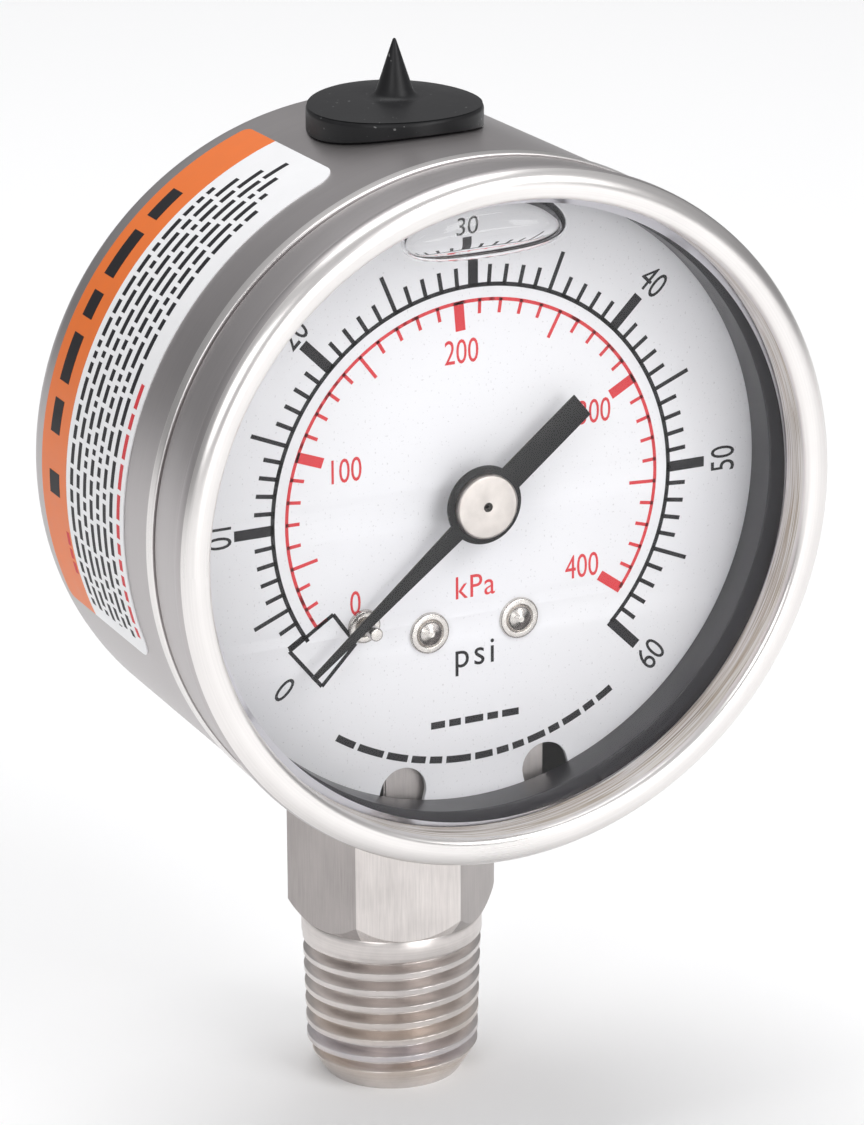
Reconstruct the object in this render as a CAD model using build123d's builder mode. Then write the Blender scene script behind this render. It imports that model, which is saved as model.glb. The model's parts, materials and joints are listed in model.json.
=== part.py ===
"""Bottom-connection, liquid-filled dial pressure gauge with a Bourdon tube, nominal case size 50 mm.

Millimetres. The origin is the centre of the stem's lower end face, +Z runs up the stem, and the dial
faces -Y, with +X to the right of somebody reading it. The dial's axis is parallel to Y.
"""

import os
from math import acos, cos, degrees, pi, radians, sin, sqrt, tan

from build123d import *

# --- driving dimensions ---------------------------------------------------------------------------

DIAL_Z = 51.0  # height of the dial's axis over the end of the stem

# Depths along Y, from the front of the gauge to its back
BEZEL_FRONT_Y = -21.6
LENS_FRONT_Y = -19.3
LENS_BACK_Y = -16.1
CASE_RIM_Y = -15.6
BEZEL_REAR_Y = -15.25
POINTER_FRONT_Y = -14.65
DIAL_FRONT_Y = -11.9
CASE_BACK_Y = 9.4

# Radii about the dial's axis
BEZEL_R = 26.45
BEZEL_MOUTH_R = 24.15
CASE_RIM_R = 25.4
CASE_FRONT_R = 26.0
CASE_REAR_R = 25.62
CASE_INNER_R = 24.75
GASKET_MOUTH_R = 23.4
LENS_R = 24.9
LENS_FLAT_R = 23.5
DIAL_R = 24.2
DIAL_THICKNESS = 0.6

# Stem: 1/4-18 NPT, wrench hexagon 9/16 in
THREADS_PER_INCH = 18
THREAD_PITCH = 25.4 / THREADS_PER_INCH
THREAD_DEPTH = 0.8 * THREAD_PITCH
THREAD_END_R = 6.63  # crest radius at the small end
TAPER = 1 / 32  # growth of the radius with height, the standard pipe taper
THREAD_TOP_Z = 11.3
COLLAR_R = 7.05
HEX_BOTTOM_Z = 13.1
HEX_ACROSS_FLATS = 14.29
HEX_TURN = -15.3  # the front flat is turned this far towards -X
BORE_R = 2.0
CHANNEL_R = 1.4

# Socket block inside the case
NECK_R = 6.0
SEAL_R = 7.0
BLOCK_LEFT_X = -7.1
BLOCK_RIGHT_X = 6.2
BLOCK_FRONT_Y = -10.6
BLOCK_REAR_Y = 6.0
BLOCK_BOTTOM_Z = 27.3
BLOCK_TOP_Z = 30.8
TONGUE_FRONT_Y = -3.9
TONGUE_REAR_Y = 4.6
TONGUE_TOP_Z = 34.5

# Bourdon tube: a flattened tube bent round the dial's axis
TUBE_R = 19.5
TUBE_WIDTH = 6.0
TUBE_THICKNESS = 2.2
TUBE_WALL = 0.25
TUBE_START_ANGLE = -105.0  # in the front view, from +X towards +Z
TUBE_SWEEP = 285.0

# Movement: pinion on the dial's axis, sector pivot below it
MODULE = 0.25
PINION_TEETH = 12
SECTOR_TEETH = 84  # of a full wheel
PRESSURE_ANGLE = 20.0
POINTER_TRAVEL = 270.0
SECTOR_TRAVEL = POINTER_TRAVEL * PINION_TEETH / SECTOR_TEETH
CENTRE_DISTANCE = MODULE * (PINION_TEETH + SECTOR_TEETH) / 2
SECTOR_PIVOT_X = 2.4
SECTOR_PIVOT = (SECTOR_PIVOT_X, -sqrt(CENTRE_DISTANCE**2 - SECTOR_PIVOT_X**2))
TAIL_LENGTH = 4.24
LINK_END = (13.1, -13.1)
ARBOR_R = 0.6
PIVOT_R = 0.4
RUNNING_CLEARANCE = 0.03

FRONT_PLATE_Y = -9.9
BACK_PLATE_Y = -4.9
PLATE_THICKNESS = 1.0
SECTOR_Y = -8.5
SECTOR_THICKNESS = 0.8
LINK_Y = -7.6
LINK_THICKNESS = 0.5
LUG_Y = -6.95
LUG_THICKNESS = 0.8
SPRING_Y = -6.2
SPRING_HEIGHT = 0.6
SPRING_THICKNESS = 0.14
SPRING_TURNS = 3.6
SPRING_OUTER_R = 5.0
SPRING_STUD_ANGLE = 150.0
COLLET_R = 1.3

PILLARS = [(7.8, -8.9), (-7.0, -11.5), (0.0, 6.6)]
PILLAR_R = 1.0
BASE_SCREWS = [(-3.2, -17.9), (3.2, -17.9)]
DIAL_SCREWS = [(-3.7, -9.9), (3.7, -9.9)]
PLATE_EAR_R = 2.2

# Pointer and its stop, angles clockwise from the top of the dial
POINTER_REST = -129.0
POINTER_LENGTH = 18.0
POINTER_TAIL = 10.4
POINTER_TAIL_WIDTH = 2.1
POINTER_ROOT_WIDTH = 1.45
POINTER_TIP_WIDTH = 0.4
POINTER_DISC_R = 3.0
POINTER_THICKNESS = 0.35
CAP_R = 2.45
CAP_HEIGHT = 0.85
STOP_RADIUS = 12.4
STOP_R = 0.5
STOP_ANGLE = POINTER_REST - 4.3

NOTCH_R = 1.9
NOTCH_RADIUS = 22.9
NOTCH_ANGLE = 15.0  # either side of straight down

# Fill plug
PLUG_Y = -1.6
PLUG_R = 6.6
PLUG_TOP_R = 27.7  # its top follows the case, coaxial with the dial
PLUG_GAP = 0.05
PLUG_STEM_R = 3.15
PLUG_HOLE_R = 3.2
NIB_R = 1.6
NIB_TOP_Z = 82.9
NIB_TIP_R = 0.15

LABEL_FRONT_Y = -9.9
LABEL_REAR_Y = 6.2
LABEL_THICKNESS = 0.08
LABEL_TOP_ANGLE = -19.0  # clockwise from the top of the case, seen from the front
LABEL_BOTTOM_ANGLE = -113.5

# --- planes, axes and shared profiles -------------------------------------------------------------

DIAL_CENTRE = (0, 0, DIAL_Z)
DIAL_AXIS = Axis(DIAL_CENTRE, (0, 1, 0))
SECTION = Plane(DIAL_CENTRE, x_dir=(0, 0, 1), z_dir=(-1, 0, 0))  # x is the radius, y is row Y


def front_view(y):
    """Plane at depth y with X to the right and Z up from the dial's axis; extrusion runs to the front."""
    return Plane((0, y, DIAL_Z), x_dir=(1, 0, 0), z_dir=(0, -1, 0))


def on_dial(radius, clock_angle):
    """Point of the front view at a radius and an angle clockwise from the top."""
    return (radius * sin(radians(clock_angle)), radius * cos(radians(clock_angle)))


def case_outer_r(y):
    """Outer radius of the slightly flared case at depth y."""
    return CASE_REAR_R + (CASE_FRONT_R - CASE_REAR_R) * (7.0 - y) / 19.0


def turned(corners, plane=SECTION, axis=DIAL_AXIS, arc=360.0, mode=Mode.ADD):
    """Revolve a closed outline given as (radius, depth, corner radius) in the section plane."""
    with BuildSketch(plane) as outline:
        with BuildLine():
            FilletPolyline(*[(r, y) for r, y, _ in corners], radius=[f for _, _, f in corners], close=True)
        make_face()
    revolve(outline.sketch, axis=axis, revolution_arc=arc, mode=mode)


def case_envelope(gap, mode):
    """Solid of the case's outer form, grown by a gap."""
    turned(
        [
            (0, CASE_BACK_Y, 0),
            (case_outer_r(CASE_BACK_Y) + gap, CASE_BACK_Y, 0),
            (case_outer_r(-12.0) + gap, -12.0, 0),
            (0, -12.0, 0),
        ],
        mode=mode,
    )


def disc(y, radius, thickness, centres=((0, 0),), mode=Mode.ADD):
    """Discs whose rear faces lie at depth y, thickness towards the front."""
    with BuildSketch(front_view(y)) as outline:
        with Locations(*centres):
            Circle(radius)
    extrude(outline.sketch, amount=thickness, mode=mode)


def tube_section_plane(angle):
    """Plane through the dial's axis at an angle of the front view; x is the radius, y is row Y."""
    a = radians(angle)
    return Plane(DIAL_CENTRE, x_dir=(cos(a), 0, sin(a)), z_dir=(-sin(a), 0, cos(a)))


def tooth_outline(teeth):
    """Involute tooth along +X, thinned for backlash, from below its root to its tip."""
    pitch_r = MODULE * teeth / 2
    base_r = pitch_r * cos(radians(PRESSURE_ANGLE))
    root_r = pitch_r - 1.2 * MODULE
    tip_r = pitch_r + 0.85 * MODULE
    involute_at_pitch = tan(radians(PRESSURE_ANGLE)) - radians(PRESSURE_ANGLE)
    half_at_pitch = 0.84 * pi / (2 * teeth)
    flank = []
    steps = 5
    for step in range(steps + 1):
        r = max(root_r, base_r) + (tip_r - max(root_r, base_r)) * step / steps
        a = acos(base_r / r)
        half = half_at_pitch + involute_at_pitch - (tan(a) - a)
        flank.append((r, half))
    flank.insert(0, (root_r - 0.1, flank[0][1]))
    upper = [(r * cos(half), r * sin(half)) for r, half in flank]
    return upper + [(x, -y) for x, y in reversed(upper)]


def ring_of_teeth(teeth, angles, centre=(0, 0)):
    """Teeth at the given angles of the front view about a centre."""
    with Locations(*[Location((centre[0], centre[1], 0), (0, 0, a)) for a in angles]):
        Polygon(*tooth_outline(teeth), align=None)


def direction(start, end):
    """Unit vector and length from one point of the front view to another."""
    dx = end[0] - start[0]
    dz = end[1] - start[1]
    length = sqrt(dx**2 + dz**2)
    return dx / length, dz / length, length


def bar(start, end, width):
    """Round-ended bar between two points of the front view."""
    ux, uz, length = direction(start, end)
    angle = degrees(acos(ux)) * (1 if uz >= 0 else -1)
    middle = Location(((start[0] + end[0]) / 2, (start[1] + end[1]) / 2, 0), (0, 0, angle))
    with Locations(middle):
        SlotCenterToCenter(length, width)


# --- case, bezel and window -----------------------------------------------------------------------

BEAD_R = CASE_FRONT_R + 0.22
BEAD_Y = -14.75
BACK_PANEL_R = 18.8
BACK_INNER_Y = CASE_BACK_Y - 0.9

with BuildPart() as case_shell:
    turned(
        [
            (0, CASE_BACK_Y - 0.5, 0),
            (BACK_PANEL_R, CASE_BACK_Y - 0.5, 0.6),
            (BACK_PANEL_R + 0.8, CASE_BACK_Y, 0.6),
            (case_outer_r(CASE_BACK_Y), CASE_BACK_Y, 2.2),
            (CASE_FRONT_R, -12.0, 0),
            (BEAD_R, BEAD_Y + 0.3, 0.25),
            (BEAD_R - 0.05, BEAD_Y - 0.3, 0.1),
            (CASE_RIM_R, BEAD_Y - 0.35, 0),
            (CASE_RIM_R, CASE_RIM_Y, 0),
            (CASE_INNER_R, CASE_RIM_Y, 0),
            (CASE_INNER_R, BACK_INNER_Y, 1.4),
            (BACK_PANEL_R + 0.2, BACK_INNER_Y, 0.6),
            (BACK_PANEL_R - 0.6, BACK_INNER_Y - 0.5, 0.6),
            (0, BACK_INNER_Y - 0.5, 0),
        ]
    )
    with Locations((0, PLUG_Y, DIAL_Z + CASE_INNER_R)):
        Cylinder(PLUG_HOLE_R, 6.0, mode=Mode.SUBTRACT)
    with Locations((0, 0, DIAL_Z - CASE_INNER_R)):
        Cylinder(SEAL_R, 6.0, mode=Mode.SUBTRACT)

BEVEL_DEPTH = 1.9
BEVEL_SLOPE = BEVEL_DEPTH / (LENS_R - LENS_FLAT_R)
BEVEL_REAR_Y = LENS_FRONT_Y + BEVEL_DEPTH
MOUTH_REAR_Y = LENS_FRONT_Y + (BEZEL_MOUTH_R - LENS_FLAT_R) * BEVEL_SLOPE

with BuildPart() as bezel_ring:
    turned(
        [
            (CASE_RIM_R, BEZEL_REAR_Y, 0),
            (CASE_FRONT_R - 0.02, BEZEL_REAR_Y, 0.25),
            (CASE_FRONT_R + 0.05, -19.15, 0.15),
            (CASE_FRONT_R - 0.15, -19.45, 0.12),
            (BEZEL_R, -19.85, 0.3),
            (BEZEL_R, BEZEL_FRONT_Y, 1.25),
            (BEZEL_MOUTH_R, BEZEL_FRONT_Y + 0.25, 0.4),
            (BEZEL_MOUTH_R, MOUTH_REAR_Y, 0),
            (LENS_R, BEVEL_REAR_Y, 0),
            (CASE_RIM_R, BEVEL_REAR_Y, 0),
        ]
    )

with BuildPart() as window_lens:
    turned(
        [
            (0, LENS_FRONT_Y, 0),
            (LENS_FLAT_R, LENS_FRONT_Y, 0),
            (LENS_R, BEVEL_REAR_Y, 0),
            (LENS_R, LENS_BACK_Y, 0),
            (0, LENS_BACK_Y, 0),
        ]
    )

GASKET_SLEEVE_R = GASKET_MOUTH_R + 0.8

with BuildPart() as lens_gasket:
    turned(
        [
            (GASKET_MOUTH_R, LENS_BACK_Y, 0),
            (LENS_R, LENS_BACK_Y, 0),
            (LENS_R, BEVEL_REAR_Y, 0),
            (CASE_RIM_R, BEVEL_REAR_Y, 0),
            (CASE_RIM_R, CASE_RIM_Y, 0),
            (GASKET_SLEEVE_R, CASE_RIM_Y, 0),
            (GASKET_SLEEVE_R, DIAL_FRONT_Y, 0),
            (GASKET_MOUTH_R, DIAL_FRONT_Y, 0),
        ]
    )

# The adhesive label is a skin on the flared case, swept round part of its left side.
with BuildPart() as side_label:
    with BuildSketch(tube_section_plane(90.0 - LABEL_BOTTOM_ANGLE)):
        with BuildLine():
            Polyline(
                (case_outer_r(LABEL_FRONT_Y), LABEL_FRONT_Y),
                (case_outer_r(LABEL_REAR_Y), LABEL_REAR_Y),
                (case_outer_r(LABEL_REAR_Y) + LABEL_THICKNESS, LABEL_REAR_Y),
                (case_outer_r(LABEL_FRONT_Y) + LABEL_THICKNESS, LABEL_FRONT_Y),
                close=True,
            )
        make_face()
    revolve(axis=DIAL_AXIS, revolution_arc=LABEL_TOP_ANGLE - LABEL_BOTTOM_ANGLE)

# --- dial and what is fixed to it -----------------------------------------------------------------

STOP_POINT = on_dial(STOP_RADIUS, STOP_ANGLE)
DIAL_BACK_Y = DIAL_FRONT_Y + DIAL_THICKNESS
DIAL_SCREW_R = 0.8
NOTCHES = [on_dial(NOTCH_RADIUS, 180.0 + side * NOTCH_ANGLE) for side in (1, -1)]

with BuildPart() as dial_plate:
    with BuildSketch(front_view(DIAL_BACK_Y)):
        Circle(DIAL_R)
        Circle(ARBOR_R + 0.6, mode=Mode.SUBTRACT)
        with Locations(*DIAL_SCREWS):
            Circle(DIAL_SCREW_R, mode=Mode.SUBTRACT)
        with Locations(STOP_POINT):
            Circle(STOP_R, mode=Mode.SUBTRACT)
        for side, notch in zip((1, -1), NOTCHES):
            outward = Location((notch[0], notch[1], 0), (0, 0, -90.0 - side * NOTCH_ANGLE))
            with Locations(outward):
                Circle(NOTCH_R, mode=Mode.SUBTRACT)
                Rectangle(4.0, 2 * NOTCH_R, align=(Align.MIN, Align.CENTER), mode=Mode.SUBTRACT)
    extrude(amount=DIAL_THICKNESS)

EYELET_R = 1.5
EYELET_HEIGHT = 0.3
DIAL_SCREW_LENGTH = FRONT_PLATE_Y + PLATE_THICKNESS - DIAL_FRONT_Y
SCREW_DOME_R = 1.05

with BuildPart() as dial_screws:
    disc(FRONT_PLATE_Y + PLATE_THICKNESS, DIAL_SCREW_R, DIAL_SCREW_LENGTH, DIAL_SCREWS)
    disc(DIAL_FRONT_Y, EYELET_R, EYELET_HEIGHT, DIAL_SCREWS)
    disc(DIAL_FRONT_Y - EYELET_HEIGHT, SCREW_DOME_R, 0.45, DIAL_SCREWS)
    fillet(dial_screws.faces().sort_by(Axis.Y)[0:2].edges(), 0.3)

with BuildPart() as dial_spacers:
    disc(FRONT_PLATE_Y, EYELET_R, FRONT_PLATE_Y - DIAL_BACK_Y, DIAL_SCREWS)
    disc(FRONT_PLATE_Y, DIAL_SCREW_R, FRONT_PLATE_Y - DIAL_BACK_Y, DIAL_SCREWS, mode=Mode.SUBTRACT)

STOP_HEIGHT = 3.3

with BuildPart() as stop_pin:
    disc(DIAL_BACK_Y, STOP_R, DIAL_THICKNESS + STOP_HEIGHT, [STOP_POINT])
    disc(DIAL_FRONT_Y, 1.15, 0.35, [STOP_POINT])
    fillet(stop_pin.faces().sort_by(Axis.Y)[0].edges(), 0.12)

# --- pointer --------------------------------------------------------------------------------------

POINTER_BACK_Y = POINTER_FRONT_Y + POINTER_THICKNESS
POINTER_BOSS_Y = DIAL_FRONT_Y - 1.0

with BuildPart() as pointer:
    with BuildSketch(front_view(POINTER_BACK_Y)):
        with Locations(Location((0, 0, 0), (0, 0, -POINTER_REST))):
            Polygon(
                (-POINTER_ROOT_WIDTH / 2, 0),
                (POINTER_ROOT_WIDTH / 2, 0),
                (POINTER_TIP_WIDTH / 2, POINTER_LENGTH),
                (-POINTER_TIP_WIDTH / 2, POINTER_LENGTH),
                align=None,
            )
            Rectangle(POINTER_TAIL_WIDTH, POINTER_TAIL, align=(Align.CENTER, Align.MAX))
        Circle(POINTER_DISC_R)
    extrude(amount=POINTER_THICKNESS)
    disc(POINTER_BOSS_Y, 1.7, POINTER_BOSS_Y - POINTER_BACK_Y)
    disc(POINTER_BOSS_Y, ARBOR_R, POINTER_BOSS_Y - POINTER_FRONT_Y, mode=Mode.SUBTRACT)

ARBOR_FRONT_Y = POINTER_FRONT_Y - 0.5

with BuildPart() as pointer_cap:
    disc(POINTER_FRONT_Y, CAP_R, CAP_HEIGHT)
    chamfer(pointer_cap.faces().sort_by(Axis.Y)[0].edges(), 0.12)
    disc(POINTER_FRONT_Y, ARBOR_R, POINTER_FRONT_Y - ARBOR_FRONT_Y, mode=Mode.SUBTRACT)
    disc(POINTER_FRONT_Y - CAP_HEIGHT + 0.2, 0.32, 0.2, mode=Mode.SUBTRACT)

# --- movement -------------------------------------------------------------------------------------

PLATE_GAP_FRONT_Y = FRONT_PLATE_Y + PLATE_THICKNESS
PLATE_GAP_REAR_Y = BACK_PLATE_Y
BACK_PLATE_REAR_Y = BACK_PLATE_Y + PLATE_THICKNESS
PIVOT_HOLE_R = PIVOT_R + RUNNING_CLEARANCE
END_PLAY = 0.05
PINION_REAR_Y = SECTOR_Y + SECTOR_THICKNESS + 0.2
PINION_FACE = SECTOR_THICKNESS + 0.35

TO_SECTOR = -degrees(acos(SECTOR_PIVOT_X / CENTRE_DISTANCE))  # from the pinion to the sector's pivot
TO_PINION = TO_SECTOR + 180.0
PINION_STEP = 360.0 / PINION_TEETH
SECTOR_STEP = 360.0 / SECTOR_TEETH
PINION_ANGLES = [TO_SECTOR + PINION_STEP * (k + 0.5) for k in range(PINION_TEETH)]
SECTOR_ANGLES = [TO_PINION + SECTOR_STEP * k for k in range(-11, 3)]
PINION_ROOT_R = MODULE * (PINION_TEETH / 2 - 1.2)
SECTOR_ROOT_R = MODULE * (SECTOR_TEETH / 2 - 1.2)

with BuildPart() as pinion_arbor:
    disc(PLATE_GAP_REAR_Y - END_PLAY, ARBOR_R, PLATE_GAP_REAR_Y - END_PLAY - ARBOR_FRONT_Y)
    disc(BACK_PLATE_REAR_Y, PIVOT_R, PLATE_THICKNESS + END_PLAY)
    with BuildSketch(front_view(PINION_REAR_Y)):
        Circle(PINION_ROOT_R)
        ring_of_teeth(PINION_TEETH, PINION_ANGLES)
    extrude(amount=PINION_FACE)

TAIL_MIDDLE = -90.0
TAIL_REST = TAIL_MIDDLE - SECTOR_TRAVEL / 2
TAIL_PIN = (
    SECTOR_PIVOT[0] + TAIL_LENGTH * cos(radians(TAIL_REST)),
    SECTOR_PIVOT[1] + TAIL_LENGTH * sin(radians(TAIL_REST)),
)
TAIL_PIN_R = 0.45
SECTOR_WEB_HALF = 8.0  # half angle of each spoke, in degrees
SECTOR_FIRST = SECTOR_ANGLES[0] - SECTOR_STEP / 2
SECTOR_LAST = SECTOR_ANGLES[-1] + SECTOR_STEP / 2
SECTOR_RIM_R = SECTOR_ROOT_R - 1.6


with BuildPart() as sector_gear:
    with BuildSketch(front_view(SECTOR_Y + SECTOR_THICKNESS)):
        with BuildLine():
            rim = CenterArc(SECTOR_PIVOT, SECTOR_ROOT_R, SECTOR_FIRST, SECTOR_LAST - SECTOR_FIRST)
            Line(rim @ 1, SECTOR_PIVOT)
            Line(SECTOR_PIVOT, rim @ 0)
        make_face()
        with BuildLine():
            inner = CenterArc(
                SECTOR_PIVOT,
                SECTOR_RIM_R,
                SECTOR_FIRST + SECTOR_WEB_HALF,
                SECTOR_LAST - SECTOR_FIRST - 2 * SECTOR_WEB_HALF,
            )
            near = CenterArc(
                SECTOR_PIVOT,
                3.2,
                SECTOR_FIRST + 2 * SECTOR_WEB_HALF,
                SECTOR_LAST - SECTOR_FIRST - 4 * SECTOR_WEB_HALF,
            )
            Line(inner @ 0, near @ 0)
            Line(near @ 1, inner @ 1)
        make_face(mode=Mode.SUBTRACT)
        ring_of_teeth(SECTOR_TEETH, SECTOR_ANGLES, SECTOR_PIVOT)
        with Locations(SECTOR_PIVOT):
            Circle(2.0)
        bar(SECTOR_PIVOT, TAIL_PIN, 2.0)
        with Locations(SECTOR_PIVOT):
            Circle(ARBOR_R, mode=Mode.SUBTRACT)
        with Locations(TAIL_PIN):
            Circle(TAIL_PIN_R, mode=Mode.SUBTRACT)
    extrude(amount=SECTOR_THICKNESS)

with BuildPart() as sector_arbor:
    shoulder = PLATE_GAP_REAR_Y - PLATE_GAP_FRONT_Y - 2 * END_PLAY
    disc(PLATE_GAP_REAR_Y - END_PLAY, ARBOR_R, shoulder, [SECTOR_PIVOT])
    disc(BACK_PLATE_REAR_Y, PIVOT_R, BACK_PLATE_REAR_Y - FRONT_PLATE_Y, [SECTOR_PIVOT])

TAIL_PIN_HEAD = 0.25

with BuildPart() as tail_pin:
    disc(LINK_Y + LINK_THICKNESS + 0.1, TAIL_PIN_R, LINK_Y + LINK_THICKNESS + 0.1 - SECTOR_Y, [TAIL_PIN])
    disc(LINK_Y + LINK_THICKNESS + 0.1 + TAIL_PIN_HEAD, 0.8, TAIL_PIN_HEAD, [TAIL_PIN])

# The link is carried by the tail pin. Its far hole is opened up, because the tail pin's path bows
# by half of TAIL_RISE either side of the tip's straight travel.
LINK_WIDTH = 1.7
TAIL_RISE = TAIL_LENGTH * (1 - cos(radians(SECTOR_TRAVEL / 2)))
TIP_PIN = (LINK_END[0], LINK_END[1] - TAIL_RISE / 2)
TIP_PIN_R = 0.5
TIP_HOLE_R = TIP_PIN_R + TAIL_RISE / 2 + 0.08

with BuildPart() as link_bar:
    with BuildSketch(front_view(LINK_Y + LINK_THICKNESS)):
        bar(TAIL_PIN, LINK_END, LINK_WIDTH)
        with Locations(LINK_END):
            Circle(1.3)
            Circle(TIP_HOLE_R, mode=Mode.SUBTRACT)
        with Locations(TAIL_PIN):
            Circle(TAIL_PIN_R + 0.05, mode=Mode.SUBTRACT)
    extrude(amount=LINK_THICKNESS)

with BuildPart() as tip_pin:
    disc(LUG_Y + LUG_THICKNESS, TIP_PIN_R, LUG_Y + LUG_THICKNESS - LINK_Y + 0.1, [TIP_PIN])
    disc(LINK_Y - 0.08, 0.95, 0.25, [TIP_PIN])

with BuildPart() as tube_tip:
    tip_start = TUBE_START_ANGLE - TUBE_SWEEP + 360.0
    with BuildSketch(front_view(TUBE_WIDTH / 2)):
        with BuildLine():
            outer = CenterArc((0, 0), TUBE_R + TUBE_THICKNESS / 2 + 0.1, tip_start, -8.0)
            inner_side = CenterArc((0, 0), TUBE_R - TUBE_THICKNESS / 2 - 0.1, tip_start, -8.0)
            Line(outer @ 0, inner_side @ 0)
            Line(outer @ 1, inner_side @ 1)
        make_face()
    extrude(amount=TUBE_WIDTH / 2 - LUG_Y)
    with BuildSketch(front_view(LUG_Y + LUG_THICKNESS)):
        lug_root = (
            TUBE_R * cos(radians(tip_start - 4.5)),
            TUBE_R * sin(radians(tip_start - 4.5)),
        )
        bar(lug_root, TIP_PIN, 2.2)
    extrude(amount=LUG_THICKNESS)
    disc(LUG_Y + LUG_THICKNESS, TIP_PIN_R, LUG_THICKNESS, [TIP_PIN], mode=Mode.SUBTRACT)

with BuildPart() as bourdon_tube:
    with BuildSketch(tube_section_plane(TUBE_START_ANGLE)):
        with Locations(Location((TUBE_R, 0, 0), (0, 0, 90))):
            SlotOverall(TUBE_WIDTH, TUBE_THICKNESS)
            SlotOverall(TUBE_WIDTH - 2 * TUBE_WALL, TUBE_THICKNESS - 2 * TUBE_WALL, mode=Mode.SUBTRACT)
    revolve(axis=DIAL_AXIS, revolution_arc=TUBE_SWEEP)


def plate(y, ears, holes):
    """Movement plate at depth y: the hull of its ears, with pivot holes."""
    with BuildSketch(front_view(y + PLATE_THICKNESS)) as outline:
        with Locations(*ears):
            Circle(PLATE_EAR_R)
        make_hull(outline.edges())
        for centre, radius in holes:
            with Locations(centre):
                Circle(radius, mode=Mode.SUBTRACT)
    extrude(outline.sketch, amount=PLATE_THICKNESS)


SCREW_R = 0.7
HEAD_R = 1.3
HEAD_HEIGHT = 0.7
BASE_SCREW_DEPTH = 2.5

with BuildPart() as movement_back_plate:
    plate(
        BACK_PLATE_Y,
        PILLARS + BASE_SCREWS + [(-4.6, 2.6)],
        [((0, 0), PIVOT_HOLE_R), (SECTOR_PIVOT, PIVOT_HOLE_R)] + [(p, SCREW_R) for p in BASE_SCREWS],
    )

with BuildPart() as movement_front_plate:
    plate(
        FRONT_PLATE_Y,
        PILLARS + DIAL_SCREWS + [SECTOR_PIVOT],
        [((0, 0), ARBOR_R + RUNNING_CLEARANCE), (SECTOR_PIVOT, PIVOT_HOLE_R)]
        + [(p, SCREW_R) for p in PILLARS]
        + [(p, DIAL_SCREW_R) for p in DIAL_SCREWS],
    )

PILLAR_THREAD = 2.0

with BuildPart() as movement_pillars:
    disc(PLATE_GAP_REAR_Y, PILLAR_R, PLATE_GAP_REAR_Y - PLATE_GAP_FRONT_Y, PILLARS)
    disc(PLATE_GAP_FRONT_Y + PILLAR_THREAD, SCREW_R, PILLAR_THREAD, PILLARS, mode=Mode.SUBTRACT)


def slotted_screws(y, depth, centres):
    """Slotted cheese-head screws whose heads sit on a face at depth y."""
    disc(y + depth, SCREW_R, depth, centres)
    disc(y, HEAD_R, HEAD_HEIGHT, centres)
    with BuildSketch(front_view(y - HEAD_HEIGHT / 2)) as slots:
        with Locations(*centres):
            Rectangle(2 * HEAD_R + 0.2, 0.35, rotation=35)
    extrude(slots.sketch, amount=HEAD_HEIGHT, mode=Mode.SUBTRACT)


with BuildPart() as pillar_screws:
    slotted_screws(FRONT_PLATE_Y, PLATE_THICKNESS + PILLAR_THREAD, PILLARS)

with BuildPart() as base_screws:
    slotted_screws(BACK_PLATE_Y, PLATE_THICKNESS + BASE_SCREW_DEPTH, BASE_SCREWS)

with BuildPart() as hairspring_collet:
    disc(SPRING_Y + SPRING_HEIGHT + 0.1, COLLET_R, SPRING_HEIGHT + 0.2)
    disc(SPRING_Y + SPRING_HEIGHT + 0.1, ARBOR_R, SPRING_HEIGHT + 0.2, mode=Mode.SUBTRACT)


def spiral_point(share, offset):
    """Point of the hairspring's spiral, share 0 at the collet and 1 at the stud, offset outwards."""
    angle = radians(SPRING_STUD_ANGLE - 360.0 * SPRING_TURNS * (1 - share))
    inner = COLLET_R + SPRING_THICKNESS / 2 + 0.03
    radius = inner + (SPRING_OUTER_R - inner) * share + offset
    return (radius * cos(angle), radius * sin(angle))


SPIRAL_STEPS = 60

with BuildPart() as hairspring:
    with BuildSketch(front_view(SPRING_Y + SPRING_HEIGHT)):
        with BuildLine():
            shares = [step / SPIRAL_STEPS for step in range(SPIRAL_STEPS + 1)]
            outside = Spline(*[spiral_point(s, SPRING_THICKNESS / 2) for s in shares])
            inside = Spline(*[spiral_point(s, -SPRING_THICKNESS / 2) for s in shares])
            Line(outside @ 0, inside @ 0)
            Line(outside @ 1, inside @ 1)
        make_face()
    extrude(amount=SPRING_HEIGHT)

STUD_SIZE = 1.3

with BuildPart() as hairspring_stud:
    stud_point = spiral_point(1.0, 0.0)
    with BuildSketch(front_view(PLATE_GAP_REAR_Y)):
        with Locations(Location((stud_point[0], stud_point[1], 0), (0, 0, SPRING_STUD_ANGLE))):
            Rectangle(STUD_SIZE, STUD_SIZE, align=(Align.CENTER, Align.MIN))
    extrude(amount=PLATE_GAP_REAR_Y - SPRING_Y + 0.3)

# --- socket ---------------------------------------------------------------------------------------

HEX_DOME_BASE_R = COLLAR_R + 0.05
HEX_DOME_CENTRE_Z = 19.63
HEX_DOME_R = sqrt(HEX_DOME_BASE_R**2 + (HEX_DOME_CENTRE_Z - HEX_BOTTOM_Z) ** 2)
HEX_DOME_TOP_Z = HEX_BOTTOM_Z + 1.8
CUTTER_BOTTOM_Z = HEX_BOTTOM_Z - 1.0
END_CHAMFER_R = 5.3
END_CHAMFER_Z = 2.5
CHANNEL_BOTTOM_Z = 20.0
SEAT_GAP = 0.03


def dome_point(z):
    """Point of the hexagon's turned-off lower end at height z, as (radius, z)."""
    return (sqrt(HEX_DOME_R**2 - (HEX_DOME_CENTRE_Z - z) ** 2), z)


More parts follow.
